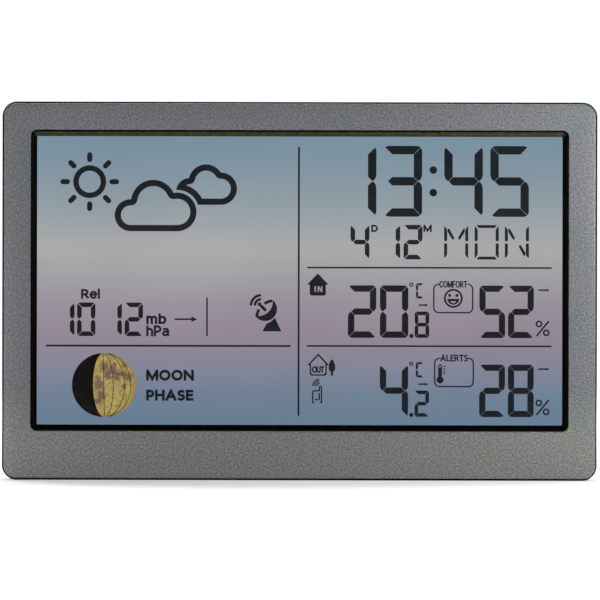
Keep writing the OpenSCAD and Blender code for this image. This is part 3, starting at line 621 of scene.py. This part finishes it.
def stroke(points, width, round_ends):
    """Outline of a line of constant width through the points."""
    pts = [Vector(p) for p in points]
    left, right = [], []
    for i, p in enumerate(pts):
        steps = [(pts[j + 1] - pts[j]).normalized() for j in (i - 1, i) if 0 <= j < len(pts) - 1]
        normals = [Vector((-s.y, s.x)) for s in steps]
        middle = sum(normals, Vector((0, 0))).normalized()
        reach = width / 2 / max(0.3, middle.dot(normals[0]))
        left.append(p + middle * reach)
        right.append(p - middle * reach)
    if not round_ends:
        return [tuple(p) for p in right + left[::-1]]

    def cap(at, along):
        start = degrees(atan2(along.y, along.x)) - 90
        return arc(at.x, at.y, width / 2, start, start + 180, 8)[1:-1]
    end = cap(pts[-1], (pts[-1] - pts[-2]).normalized())
    begin = cap(pts[0], (pts[0] - pts[1]).normalized())
    return [tuple(p) for p in right] + end + [tuple(p) for p in left[::-1]] + begin


def crossing(a, b, upper=True):
    """Where circles a and b, given as (u, v, r), cross."""
    (ax, ay, ar), (bx, by, br) = a, b
    dx, dy = bx - ax, by - ay
    d = hypot(dx, dy)
    along = (ar ** 2 - br ** 2 + d ** 2) / (2 * d)
    off = sqrt(max(0, ar ** 2 - along ** 2))
    mid = (ax + dx * along / d, ay + dy * along / d)
    both = [(mid[0] - s * dy * off / d, mid[1] + s * dx * off / d) for s in (1, -1)]
    return (max if upper else min)(both, key=lambda p: p[1])


def turn(c, p):
    return degrees(atan2(p[1] - c[1], p[0] - c[0]))


def arc_between(c, p, q, clockwise=True, steps=20):
    """Arc of circle c from point p to point q."""
    a, b = turn(c, p), turn(c, q)
    if clockwise and b > a:
        b -= 360
    if not clockwise and b < a:
        b += 360
    return arc(c[0], c[1], c[2], a, b, steps)


SEGMENTS = {
    "0": "abcdef", "1": "bc", "2": "abged", "3": "abgcd", "4": "fgbc", "5": "afgcd", "8": "abcdefg",
    "C": "afed",
}


def segment_outline(which, w, h, t, gap):
    """One bar of a seven-segment digit in a w by h box, with mitred ends and a rounded outer corner."""
    r, g, half = t * 0.62, gap / 2, h / 2
    if which == "g":
        tip = t / 2
        return [(tip + g, half), (t + g, half - tip), (w - t - g, half - tip), (w - tip - g, half),
                (w - t - g, half + tip), (t + g, half + tip)]
    if which in "ad":
        curve = arc(r, h - r, r, 135, 90, 5)
        outline = [(u + g, v) for u, v in curve] + [(w - u - g, v) for u, v in curve[::-1]]
        outline += [(w - t - g, h - t), (t + g, h - t)]
        return outline if which == "a" else [(u, h - v) for u, v in outline]
    # upper left bar, mirrored for the other three
    low = half + g
    curve = arc(r, h - r, r, 180, 135, 5)[::-1]
    shoulder = [(t / 2 * (1 - sin(radians(a))), low + t * 0.85 * (1 - cos(radians(a))))
                for a in (90, 60, 30, 0)]
    outline = [(u, v - g) for u, v in curve] + shoulder + [(t, low + t / 2), (t, h - t - g)]
    if which in "bc":
        outline = [(w - u, v) for u, v in outline]
    if which in "ec":
        outline = [(u, h - v) for u, v in outline]
    return outline


def digits(drawing, text, lefts, v0, w, h, t, gap=0.12):
    """Writes a row of seven-segment digits; lefts holds each box's left side."""
    for character, left in zip(text, lefts):
        for which in SEGMENTS[character]:
            drawing.shape([(left + u, v0 + v) for u, v in segment_outline(which, w, h, t, gap)])


STAR_SEGMENTS = {  # the wide letters of the weekday
    "M": ["left", "right", "fall_high", "rise_high"],
    "O": ["left", "right", "top", "bottom"],
    "N": ["left", "right", "fall_high", "fall_low"],
}


def star_segment(which, w, h):
    """Bars of a fourteen-segment letter as outlines in a w by h box."""
    t, flat, half, point = 1.0, 0.95, h / 2, 0.9
    bars = []
    if which in ("left", "right"):
        high = [(0, half + 0.5), (t / 2, half + 0.3), (t, half + 0.55), (t, h - point - 0.7),
                (0.25, h - point + 0.4), (0, h - point + 0.2)]
        bars = [high, [(u, h - v) for u, v in high]]
        if which == "right":
            bars = [[(w - u, v) for u, v in bar] for bar in bars]
    if which in ("top", "bottom"):
        bar = [(0.55, h), (w - 0.55, h), (w - 1.35, h - flat), (1.35, h - flat)]
        bars = [bar if which == "top" else [(u, h - v) for u, v in bar]]
    if which in ("fall_high", "rise_high", "fall_low"):
        bar = [(1.15, h - 1.1), (1.75, h - 1.35), (3.3, half + 1.5), (3.1, half + 0.8), (2.6, half + 1.0),
               (1.15, h - 2.3)]
        if which == "rise_high":
            bar = [(w - u, v) for u, v in bar]
        if which == "fall_low":
            bar = [(w - u, h - v) for u, v in bar]
        bars = [bar]
    return bars


STEM = [(0, 0), (0, 1)]

# Legend letters as centre lines in a box one capital high: width, then the strokes
LETTERS = {
    "A": (0.86, [(0, 0), (0.43, 1), (0.86, 0)], [(0.16, 0.32), (0.70, 0.32)]),
    "C": (0.70, bow(0.42, 0.5, 0.42, 0.5, 48, 312, 18)),
    "D": (0.74, STEM, [(0, 1), (0.26, 1)] + bow(0.26, 0.5, 0.48, 0.5, 80, -80, 14) + [(0.26, 0), (0, 0)]),
    "E": (0.50, [(0.50, 1), (0, 1), (0, 0), (0.50, 0)], [(0, 0.52), (0.45, 0.52)]),
    "F": (0.48, [(0.48, 1), (0, 1), (0, 0)], [(0, 0.5), (0.43, 0.5)]),
    "H": (0.72, STEM, [(0.72, 0), (0.72, 1)], [(0, 0.52), (0.72, 0.52)]),
    "L": (0.46, [(0, 1), (0, 0), (0.46, 0)]),
    "M": (0.94, STEM, [(0.94, 0), (0.94, 1)], [(0.03, 0.98), (0.47, 0.05), (0.91, 0.98)]),
    "N": (0.76, STEM, [(0.76, 0), (0.76, 1)], [(0.02, 0.97), (0.74, 0.03)]),
    "O": (0.88, bow(0.44, 0.5, 0.44, 0.5, 90, 450, 32)),
    "P": (0.56, STEM, [(0, 1), (0.26, 1)] + bow(0.26, 0.7, 0.30, 0.3, 80, -80, 10) + [(0.26, 0.4), (0, 0.4)]),
    "R": (0.62, STEM,
          [(0, 1), (0.26, 1)] + bow(0.26, 0.73, 0.29, 0.27, 80, -80, 10) + [(0.26, 0.46), (0, 0.46)],
          [(0.30, 0.42), (0.58, 0.04)]),
    "S": (0.54, bow(0.29, 0.75, 0.26, 0.25, 50, 250, 12) + bow(0.25, 0.25, 0.28, 0.26, 75, -130, 12)),
    "T": (0.62, [(0, 1), (0.62, 1)], [(0.31, 0.98), (0.31, 0)]),
    "U": (0.64, [(0, 1), (0, 0.32)] + bow(0.32, 0.32, 0.32, 0.32, 190, 350, 12) + [(0.64, 0.32), (0.64, 1)]),
    "a": (0.52, [(0.1, 0.7)] + bow(0.26, 0.5, 0.26, 0.22, 95, 0, 8) + [(0.52, 0.04)],
          bow(0.26, 0.21, 0.26, 0.21, 0, 360, 20)),
    "b": (0.56, STEM, bow(0.28, 0.36, 0.28, 0.36, 90, 450, 22)),
    "e": (0.60, [(0.08, 0.4), (0.5, 0.4)], bow(0.3, 0.38, 0.3, 0.38, 8, 312, 18)),
    "h": (0.50, STEM, [(0, 0.5)] + bow(0.25, 0.48, 0.25, 0.24, 160, 10, 8) + [(0.50, 0)]),
    "l": (0.02, [(0.01, 0), (0.01, 1.06)]),
    "m": (0.84, [(0, 0), (0, 0.72)], [(0, 0.5)] + bow(0.21, 0.48, 0.21, 0.24, 160, 10, 8) + [(0.42, 0)],
          [(0.42, 0.5)] + bow(0.63, 0.48, 0.21, 0.24, 160, 10, 8) + [(0.84, 0)]),
}


def lengthened(points, by):
    """The same path with its two ends moved outward."""
    first, second, last, before = (Vector(points[i]) for i in (0, 1, -1, -2))
    start, end = first + (first - second).normalized() * by, last + (last - before).normalized() * by
    return [tuple(start)] + points[1:-1] + [tuple(end)]


def lettering(drawing, text, u0, u1, v0, v1, weight, space=0.34):
    """Writes a generic legend between u0 and u1 with its capitals from v0 to v1."""
    widths = [LETTERS[c][0] for c in text]
    scale = (u1 - u0 - weight) / (sum(widths) + space * (len(text) - 1))
    tall = v1 - v0 - weight
    left = u0 + weight / 2
    for character, width in zip(text, widths):
        for line in LETTERS[character][1:]:
            points = [(left + x * scale, v0 + weight / 2 + y * tall) for x, y in line]
            if dist(points[0], points[-1]) < 1e-6:
                drawing.loop(points[:-1], weight)
            else:
                drawing.line(lengthened(points, weight / 2), weight)
        left += (width + space) * scale


def sun_drawing(made):
    u, v = 17.35, 79.5
    made.ring(u, v, 5.4, 1.8)
    for i in range(8):
        a = radians(45 * i)
        reach = [(u + r * cos(a), v + r * sin(a)) for r in (7.3, 8.8)]
        made.line(reach, 1.7, round_ends=True)


BIG_CLOUD = [(30.8, 68.55, 5.25), (38.2, 72.85, 7.3), (46.05, 69.65, 6.35)]
SMALL_CLOUD = [(50.1, 76.35, 4.4), (55.5, 79.5, 5.75), (60.35, 77.3, 5.3)]
CLOUD_LINE = 2.05


def cloud_outline(lobes, inset=0.0, hidden_by=None):
    """Outline of three lobes on a flat base, moved in by inset; hidden_by is a circle over the lower left."""
    left, top, right = lobes
    base = right[1] - right[2] + inset
    a, b = crossing(left, top), crossing(top, right)
    inner = [(u, v, r - inset) for u, v, r in lobes]
    if hidden_by is None:
        start, tail = (left[0], base), []
    else:
        cover = (hidden_by[0], hidden_by[1], hidden_by[2] + inset)
        start = crossing(inner[0], cover)
        foot = (cover[0] + sqrt(cover[2] ** 2 - (base - cover[1]) ** 2), base)
        tail = arc_between(cover, foot, start, clockwise=False)[:-1]
    outline = arc_between(inner[0], start, a)
    for notch, after, until in ((a, inner[1], b), (b, inner[2], (right[0], base))):
        if inset:
            first = arc_between(after, notch, until)
            outline += arc_between((*notch, inset), outline[-1], first[0], clockwise=False, steps=6)[1:-1]
        else:
            outline.pop()
        outline += arc_between(after, notch, until)
    return outline + tail


def cloud_drawing(made):
    made.shape(cloud_outline(BIG_CLOUD), cloud_outline(BIG_CLOUD, CLOUD_LINE))
    u, v, r = BIG_CLOUD[2]
    gap = 0.85  # clear strip between the clouds
    cover = (u, v, r + gap)
    made.shape(cloud_outline(SMALL_CLOUD, 0, cover), cloud_outline(SMALL_CLOUD, CLOUD_LINE, cover))


def rules_drawing(made):
    """The thin lines that divide the display."""
    thick = 0.62
    made.bar(85.95 - thick / 2, 85.95 + thick / 2, 2.9, 91.0)
    made.bar(3.1, 83.3, 25.75 - thick / 2, 25.75 + thick / 2)
    for v in (51.5, 25.8):
        made.bar(88.7, 168.9, v - 0.27, v + 0.27)
    made.bar(55.65, 56.15, 28.95, 41.65)


def pressure_drawing(made):
    digits(made, "1012", (6.45, 13.3, 22.0, 28.9), 28.9, 6.0, 11.0, 1.5, 0.28)
    made.bar(45.3, 51.4, 34.2, 34.76)
    made.shape([(50.8, 33.55), (52.7, 34.48), (50.8, 35.4)])


def receiver_dish_drawing(made):
    """The radio receiving symbol: a bowl on a foot, its rim, its feed and two waves."""
    made.shift = (0.33, -0.15)
    bowl, mouth = (74.6, 38.0, 3.93), (72.4, 40.5, 4.75)
    tip, heel = crossing(bowl, mouth), crossing(bowl, mouth, upper=False)
    made.shape(arc_between(bowl, tip, heel) + arc_between(mouth, heel, tip, clockwise=False)[1:-1])
    for start, end in ((96, 124), (150, 174)):
        made.line(arc(77.6, 35.0, 5.75, start, end, 8), 0.95)
    made.line([(73.4, 38.95), (74.6, 37.75)], 1.0, round_ends=True)
    made.disc(72.75, 39.6, 0.6)
    for r in (2.1, 3.4):
        made.line(arc(73.35, 39.15, r, 92, 180, 12), 0.82)
    made.shape([(73.75, 30.7), (75.1, 33.2), (76.5, 33.9), (77.85, 35.15), (79.95, 30.7)])


def clock_drawing(made):
    digits(made, "1345", (98.7, 113.7, 133.6, 148.7), 68.25, 12.65, 23.2, 2.75, 0.16)
    for v in (76.15, 83.55):
        made.disc(130.0, v, 1.25)


def date_drawing(made):
    foot, tall = 54.25, 11.3
    digits(made, "412", (102.9, 113.0, 120.3), foot, 6.2, tall, 1.5, 0.28)
    for letter, left in zip("MON", (133.6, 143.6, 153.5)):
        for which in STAR_SEGMENTS[letter]:
            for bar in star_segment(which, 7.9, tall):
                made.shape([(left + u, foot + v) for u, v in bar])


def climate_row(made, v0, whole, tenth, humidity):
    """One row of readings: temperature with a small tenth, trend dashes and humidity."""
    h = 17.2
    digits(made, whole, (102.1, 112.6)[-len(whole):], v0, 9.3, h, 2.1, 0.16)
    made.disc(122.95, v0 + 0.65, 0.68)
    digits(made, tenth, (124.0,), v0 + 0.05, 4.75, 8.6, 1.2, 0.12)
    made.ring(122.9, v0 + 17.45, 0.7, 0.38)
    digits(made, "C", (124.4,), v0 + 12.95, 2.5, 5.0, 0.72, 0.16)
    digits(made, humidity, (145.2, 154.6), v0, 8.45, h, 2.05, 0.16)
    for u0, u1, v in ((125.3, 128.2, v0 + 10.75), (164.5, 168.0, v0 + 15.75)):
        made.line([(u0 + 0.2, v), (u1 - 0.2, v)], 0.5, round_ends=True)
        made.shape([(u1 - 0.75, v + 0.48), (u1 - 0.75, v - 0.48), (u1 + 0.1, v)])
    percent_sign(made, v0 + 0.25)


def percent_sign(made, v0):
    made.ring(164.75, v0 + 4.4, 1.12, 0.54)
    made.ring(167.15, v0 + 1.5, 1.12, 0.54)
    made.line([(164.1, v0 + 0.6), (167.85, v0 + 5.2)], 0.56, round_ends=True)


def bracket(made, u0, u1, v0, v1, gap0, gap1, width=0.46, r=1.6):
    """A rounded box whose top line leaves room for its legend."""
    path = [(gap0, v1)] + arc(u0 + r, v1 - r, r, 90, 180, 6) + arc(u0 + r, v0 + r, r, 180, 270, 6)
    path += arc(u1 - r, v0 + r, r, 270, 360, 6) + arc(u1 - r, v1 - r, r, 0, 90, 6) + [(gap1, v1)]
    made.line(path, width, round_ends=True)


def smiley(made, u, v):
    made.ring(u, v, 3.1, 0.62)
    for side in (-1, 1):
        made.disc(u + side * 1.2, v + 0.95, 0.5)
    chin = arc(u, v - 0.15, 1.95, 180, 360, 14)
    mouth = arc(u, v - 0.6, 1.0, 200, 340, 10)
    made.shape(chin, mouth)


def house(u, half, eaves, foot, wall, top):
    """Outline of a small house, with its apex at top."""
    return [(u, top), (u + half, eaves), (u + wall, eaves), (u + wall, foot + 0.5), (u + wall - 0.5, foot),
            (u - wall + 0.5, foot), (u - wall, foot + 0.5), (u - wall, eaves), (u - half, eaves)]


def indoor_drawing(made):
    climate_row(made, 28.5, "20", "8", "52")
    bracket(made, 130.25, 143.0, 36.8, 46.1, 131.5, 141.8)
    smiley(made, 136.65, 41.5)
    letter_i = [(91.15, 43.5), (91.15, 45.4), (91.6, 45.4), (91.6, 43.5)]
    letter_n = [(92.15, 43.5), (92.15, 45.4), (92.6, 45.4), (93.3, 44.2), (93.3, 45.4), (93.7, 45.4),
                (93.7, 43.5), (93.25, 43.5), (92.55, 44.7), (92.55, 43.5)]
    made.shape(house(92.2, 3.5, 45.9, 42.3, 2.65, 49.6), letter_i, letter_n)


def outdoor_drawing(made):
    climate_row(made, 2.6, "4", "2", "28")
    bracket(made, 130.6, 143.25, 12.55, 21.85, 131.95, 142.05)
    thermometer(made, 132.35, 14.75)
    made.shape(house(92.4, 3.6, 19.45, 16.05, 2.8, 23.35), house(92.4, 2.55, 19.85, 16.5, 2.35, 22.55))
    tree(made, 96.9, 16.1)
    remote_sensor(made, 92.05, 7.1)


def thermometer(made, u, v):
    half = 0.62
    bulb = arc(u, v, 1.15, 180 - 57, 360 + 57, 18)
    top = arc(u, v + 4.5, half, 0, 180, 8)
    made.shape(bulb + top, circle(u, v + 4.35, 0.32, 12))
    for i in range(4):
        made.bar(u + 0.95, u + 1.8, v + 2.0 + 0.75 * i, v + 2.3 + 0.75 * i)


def tree(made, u, v):
    crown = [(u + 1.05 * sin(t) * (1 - 0.3 * cos(t)), v + 3.2 + 2.05 * cos(t))
             for t in (2 * pi * i / 24 for i in range(24))]
    made.shape(crown)
    made.bar(u - 0.35, u + 0.35, v, v + 1.4)


def remote_sensor(made, u, v):
    """A small hand-held sensor with three waves."""
    path = arc(u - 1.05, v + 0.45, 0.4, 300, 180, 4) + arc(u - 1.05, v + 3.6, 0.4, 180, 90, 4)
    path += [(u + 0.75, v + 4.0)] + arc(u + 1.1, v + 5.15, 0.35, 180, 0, 8)
    path += arc(u + 1.05, v + 0.45, 0.4, 0, -120, 4)
    made.line(path, 0.44)
    made.bar(u + 0.45, u + 0.95, v + 0.9, v + 3.3)
    made.bar(u - 0.7, u + 0.1, v + 0.9, v + 1.4)
    for r in (1.1, 1.75, 2.4):
        made.line(arc(u + 0.95, v + 5.4, r, 96, 176, 10), 0.42)


def meridian(share):
    """A line of longitude on the moon's disc, from its lower to its upper pole; share is its half width."""
    c, s = cos(radians(1)), sin(radians(1))  # the picture's slight lean
    flat = [(u * MOON_R, v * MOON_R) for u, v in bow(0, 0, share, 1, -90, 90, 32)]
    return [(MOON_U + u * c - v * s, MOON_V + u * s + v * c) for u, v in flat]


def moon_drawing():
    """The moon phase picture: a lit disc part, its shadow and a few lines of longitude."""
    edge = meridian(-0.34)
    for name, finish, outline in (
            ("lit", MOON_LIGHT, edge[:-1] + meridian(1.0)[::-1][:-1]),
            ("shadow", MOON_SHADE, edge[::-1][:-1] + meridian(-1.0)[:-1])):
        part = Drawing("lcd_moon_" + name, finish)
        part.shape(outline)
        part.build()
    lines = Drawing("lcd_moon_lines", MOON_SHADE, lift=INK_T + 0.01)
    for share in (-0.004, 0.29, 0.64, 0.84):
        lines.line(meridian(share)[2:-2], 0.2)
    lines.build()


LEGENDS = (  # the display's generic words and units: left, right, foot, top, stroke and letter space
    ("Rel", 14.6, 20.8, 41.1, 44.3, 0.7, 0.24), ("mb", 36.0, 42.6, 32.85, 36.4, 0.78),
    ("hPa", 36.0, 43.5, 28.85, 32.45, 0.72, 0.3), ("MOON", 36.0, 51.65, 14.3, 17.9, 0.88),
    ("PHASE", 36.0, 51.5, 7.75, 11.35, 0.88), ("D", 109.7, 111.9, 63.2, 65.55, 0.58),
    ("M", 126.8, 129.55, 63.25, 65.6, 0.6), ("COMFORT", 132.0, 141.2, 45.0, 47.2, 0.4),
    ("ALERTS", 132.45, 141.5, 20.8, 23.05, 0.44), ("OUT", 90.3, 94.4, 16.95, 19.15, 0.46, 0.2),
)


def legends(made):
    for legend in LEGENDS:
        lettering(made, *legend)


# ---------------------------------------------------------------- keys, cells and the CAD nodes that stay


class KeyMark(Drawing):
    """A small printed sign on a key, read from behind, so its drawing is mirrored in X."""

    slot = "key_plastic"

    def __init__(self, name, body, x, y, z):
        super().__init__(name, MARKS)
        self.body, self.x, self.z, self.depths = body, x, z, (y - 0.03, y + 0.05)

    def placed(self, line):
        return [(self.x - u, self.z + v) for u, v in line]


def mode_mark(m):
    for v in (-1.2, 0, 1.2):
        m.bar(-1.6, 1.6, v - 0.24, v + 0.24, 0.2)


def set_mark(m):
    m.ring(0, 0, 1.6, 0.42)
    m.disc(0, 0, 0.55)


def up_mark(m):
    m.shape([(-1.6, -1.0), (1.6, -1.0), (0, 1.5)])


def down_mark(m):
    m.shape([(-1.6, 1.0), (0, -1.5), (1.6, 1.0)])


def alarm_mark(m):
    """A bell."""
    m.shape([(-1.7, -0.9), (1.7, -0.9), (1.15, -0.1), (1.05, 0.7)] + arc(0, 0.7, 1.05, 20, 160, 8) +
            [(-1.05, 0.7), (-1.15, -0.1)])
    m.disc(0, -1.4, 0.36)


def history_mark(m):
    """A clock face."""
    m.ring(0, 0, 1.7, 0.36)
    m.line([(0, 0.95), (0, 0), (0.75, -0.4)], 0.34)


def channel_mark(m):
    """Radio waves."""
    m.disc(0, -1.2, 0.36)
    for r in (1.0, 1.8, 2.6):
        m.line(arc(0, -1.2, r, 45, 135, 8), 0.34)


def pressure_mark(m):
    """A dial with a needle."""
    m.line(arc(0, -0.6, 1.6, 200, -20, 16), 0.36)
    m.line([(0, -0.6), (0.75, 0.45)], 0.36)


KEY_MARKS = {"mode": mode_mark, "set": set_mark, "up": up_mark, "down": down_mark, "alarm": alarm_mark,
             "history": history_mark, "channel": channel_mark, "pressure": pressure_mark}


def round_key(name):
    """A rear key: a flat top with a rolled edge, a flange inside the case and a stem."""
    node, body = name + "_button", name + "_key"
    (x0, y0, z0), (x1, y1, z1) = box_mm(node)
    flange_r, flange_y, flange_t, stem_r, roll = (x1 - x0) / 2, y1 - 2.2, 1.0, 1.5, 0.55
    cap_r = flange_r - 1.0
    x, z = (x0 + x1) / 2, (z0 + z1) / 2
    profile = [(0, y1 - 0.06), (1.8, y1 - 0.05), (cap_r - roll - 0.3, y1)]
    profile += [(cap_r - inset, y1 - drop) for drop, inset in quarter(roll, 6)]
    profile += [(cap_r, flange_y), (flange_r, flange_y), (flange_r, flange_y - flange_t),
                (stem_r, flange_y - flange_t), (stem_r, y0), (0, y0)]
    solid = lathe(profile, (x, 0, z), (0, 1, 0))
    piece_from(name + "_key_cap", solid, "key_plastic", SHARP, node, body)
    mark = KeyMark(name + "_key_mark", body, x, y1 - 0.03, z)
    KEY_MARKS[name](mark)
    mark.build()


def snooze_key():
    """The wide key on the top edge, with a rolled edge, a shallow dish and three raised ribs."""
    (x0, y0, z0), (x1, y1, z1) = box_mm("snooze_button")
    y, flange_w, flange_d = (y0 + y1) / 2, x1 - x0, y1 - y0
    w, d, r, roll, dish = flange_w - 2.4, flange_d - 1.4, 1.5, 0.4, 0.18
    flange_z0 = z0 + 1.1
    flange_z1 = flange_z0 + 0.7
    rings = [(flange_w, flange_d, r, flange_z0), (flange_w, flange_d, r, flange_z1), (w, d, r, flange_z1)]
    rings += [(w - 2 * inset, d - 2 * inset, r - inset / 2, z1 - drop) for inset, drop in quarter(roll, 5)]
    rings += [(w - 2.4, d - 2.4, 0.8, z1 - 0.02), (w - 3.4, d - 3.4, 0.5, z1 - dish),
              (w - 5, d - 5, 0.3, z1 - dish)]
    rib = [(12, 0.5, 0.24, z1 - dish - 0.1), (12, 0.5, 0.24, z1 - 0.1), (11.8, 0.3, 0.14, z1 - 0.02)]

    def stacked(levels, middle_y, steps):
        """Rounded rectangles seen from above, lofted upwards, from width, depth, corner radius and height."""
        return loft([[(px, middle_y + py, z) for px, py in rounded_rect(0, 0, a, b, c, steps)]
                     for a, b, c, z in levels])
    cap = stacked(rings, y, 8)
    stem = stacked([(8, 3, 0.3, z0), (8, 3, 0.3, flange_z0 + 0.1)], y - 2.1, 2)
    ribs = [stacked(rib, y + off, 4) for off in (-1.1, 0, 1.1)]
    solid = merged([cap, stem, *ribs])
    piece_from("snooze_key_cap", solid, "key_plastic", SHARP, "snooze_button", "snooze_key")


WAYS = (1, -1, 1)  # the direction of X in which each cell's positive end points, from the lowest cell up


def power_cells():
    """Three cells side by side, each with a rolled wrap, a bare negative end and a positive nub."""
    (x0, y0, z0), (x1, y1, z1) = box_mm("batteries")
    r = (y1 - y0) / 2
    pitch = (z1 - z0 - 2 * r) / 2
    length, nub_r, nub_l, band_l = 44.5, 1.9, 0.9, 12.0
    seam = length - band_l
    for i, way in enumerate(WAYS):
        tip = x1 if way > 0 else x0
        centre = (tip, (y0 + y1) / 2, z0 + r + i * pitch)
        back = (-way, 0, 0)
        wrap = [(r - 0.9, nub_l + 0.12), (r - 0.55, nub_l), (r - 0.2, nub_l + 0.12), (r, nub_l + 0.5)]
        wrap += [(r, seam), (0, seam), (0, nub_l + 0.12)]
        band = [(0, seam + 0.02), (r, seam + 0.02), (r, length - 0.6), (r - 0.2, length - 0.15),
                (r - 0.5, length - 0.05), (r - 0.9, length - 0.15), (0, length - 0.15)]
        metal_nub = [(0, 0), (nub_r - 0.35, 0), (nub_r, 0.3), (nub_r, nub_l - 0.1), (nub_r + 0.3, nub_l + 0.1),
                     (0, nub_l + 0.1)]
        foot = [(0, length - 0.14), (r - 1.0, length - 0.14), (r - 1.3, length), (0, length)]
        for kind, profile, slot, finish in (
                ("wrap", wrap, "cell_wrap", None), ("band", band, "cell_wrap", WRAP_DARK),
                ("nub", metal_nub, "tin_plate", None), ("foot", foot, "tin_plate", None)):
            solid = lathe(profile, centre, back, 56)
            piece_from(f"cell_{i + 1}_{kind}", solid, slot, SHARP, "batteries", material=finish)


def coil_springs():
    """The three battery springs as true conical coils."""
    (x0, y0, z0), (x1, y1, z1) = box_mm("battery_springs")
    wire_r, base_r, tip_r, long, turns = 0.35, 3.6, 2.2, 4.6, 4
    pitch = (z1 - z0 - 2 * (base_r + wire_r)) / 2
    parts = []
    for i, way in enumerate(WAYS):
        start = x0 + wire_r if way > 0 else x1 - wire_r
        y, z = (y0 + y1) / 2, z0 + base_r + wire_r + i * pitch
        points = []
        for k in range(turns * 24 + 1):
            share = k / (turns * 24)
            a = 2 * pi * turns * share
            rise = max(0.0, (share - 0.2) / 0.8) * (long - 2 * wire_r)
            r = base_r + (tip_r - base_r) * share
            points.append((start + way * rise, y + r * cos(a), z + r * sin(a)))
        parts.append(tube(points, wire_r * 0.9, 8))
    piece_from("coil_springs", merged(parts), "spring_steel", 50, "battery_springs")


EDGES = {"rear_cover": 0.22, "battery_door": 0.18, "table_stand": 0.35, "stand_pad": 0.25, "unit_knob": 0.12,
         "dimmer_knob": 0.12}  # rounding of the edges that show, in millimetres


def finish_nodes():
    """Gives every CAD node that stays its finish, and softens the edges of the outer ones."""
    for part in frame["record"]["subparts"]:
        obj = frame["nodes"][part["node"]]
        obj.data.materials.clear()
        obj.data.materials.append(FINISHES[part["material_slot"]])
        for polygon in obj.data.polygons:
            polygon.use_smooth = True
        if part["node"] in EDGES:
            weld = obj.modifiers.new("weld", "WELD")
            weld.merge_threshold = 1e-6
            bevel = obj.modifiers.new("soft_edges", "BEVEL")
            bevel.width = EDGES[part["node"]] * MM
            bevel.segments = 2
            bevel.limit_method = "ANGLE"
            bevel.angle_limit = radians(50)
            obj.modifiers.new("flat_faces", "WEIGHTED_NORMAL").weight = 70
        else:
            obj.data.set_sharp_from_angle(angle=radians(SHARP))


def studio():
    """Pale floor, soft lights and the camera."""
    half = 8.0
    corners = [(-half, -half, 0), (half, -half, 0), (half, half, 0), (-half, half, 0)]
    floor_mesh = bpy.data.meshes.new("floor")
    floor_mesh.from_pydata(corners, [], [(0, 1, 2, 3)])
    floor = bpy.data.objects.new("floor", floor_mesh)
    bpy.context.scene.collection.objects.link(floor)
    pale = Finish("pale_floor", (0.9, 0.9, 0.9, 1), 0.8, specular=0.1)
    pale.colour(pale.ramp(pale.noise(400, 2), [(0.3, (0.89, 0.89, 0.89, 1)), (0.7, (0.92, 0.92, 0.92, 1))]))
    away = pale.node("VectorMath", {0: pale.place}, operation="LENGTH")["Value"]
    seen = pale.node("LightPath")["Is Camera Ray"]
    lift = pale.calc("MULTIPLY", pale.between(away, 0.3, 1.0, 0.1, 0.9), seen)
    floor_mesh.materials.append(pale.glow((1, 1, 1, 1), lift))

    def softbox(name, place, size, power, target=(0, 0, 0.06)):
        light = bpy.data.lights.new(name, "AREA")
        light.shape, light.size, light.energy = "SQUARE", size, power
        obj = bpy.data.objects.new(name, light)
        obj.location = place
        obj.visible_camera = False
        obj.rotation_euler = (Vector(target) - Vector(place)).to_track_quat("-Z", "Y").to_euler()
        bpy.context.scene.collection.objects.link(obj)

    # name, place and size in metres, power in watts, and the point it faces
    softbox("key", (0.19, -0.15, 0.122), 0.07, 0.31, (0.09, 0, 0.1))
    softbox("low_left", (-0.2, -0.22, 0.03), 0.1, 0.13, (-0.05, 0, 0.02))
    softbox("fill", (-0.9, -1.4, 0.3), 0.8, 4.85)
    softbox("over", (0, 1.0, 1.3), 1.0, 22)
    softbox("back_key", (-0.9, 1.4, 0.8), 0.9, 18)
    softbox("back_fill", (1.1, 1.2, 0.5), 1.0, 10)

    world = bpy.data.worlds.new("studio")
    world.use_nodes = True
    bpy.context.scene.world = world
    nodes, links = world.node_tree.nodes, world.node_tree.links
    back = nodes["Background"]
    level = nodes.new("ShaderNodeMapRange")
    level.inputs["To Min"].default_value = 0.12
    level.inputs["To Max"].default_value = 1.05
    links.new(nodes.new("ShaderNodeLightPath").outputs["Is Camera Ray"], level.inputs["Value"])
    links.new(level.outputs["Result"], back.inputs["Strength"])
    back.inputs["Color"].default_value = (1, 1, 1, 1)

    shown_w, distance, aim_z = 196.42 * MM, 2.2, 59.1 * MM
    camera = bpy.data.objects.new("camera", bpy.data.cameras.new("camera"))
    camera.data.sensor_width = 36
    camera.data.lens = camera.data.sensor_width * distance / shown_w
    camera.data.clip_start, camera.data.clip_end = 0.1, 30
    camera.location = (0.13 * MM, Y_FACE * MM - distance, aim_z)
    camera.rotation_euler = (radians(90), radians(-0.12), 0)
    bpy.context.scene.collection.objects.link(camera)
    bpy.context.scene.camera = camera
    bpy.context.scene.view_settings.view_transform = "Standard"


finish_nodes()
frame_moulding()
window_trim()
window_pane()
for draw, title in ((sun_drawing, "sun"), (cloud_drawing, "clouds"), (rules_drawing, "rules"),
                    (pressure_drawing, "pressure"), (receiver_dish_drawing, "dish"), (clock_drawing, "clock"),
                    (date_drawing, "date"), (indoor_drawing, "indoor"), (outdoor_drawing, "outdoor"),
                    (legends, "legends")):
    drawing = Drawing("lcd_" + title)
    draw(drawing)
    drawing.build()
moon_drawing()
for key in KEY_MARKS:
    round_key(key)
snooze_key()
power_cells()
coil_springs()
studio()
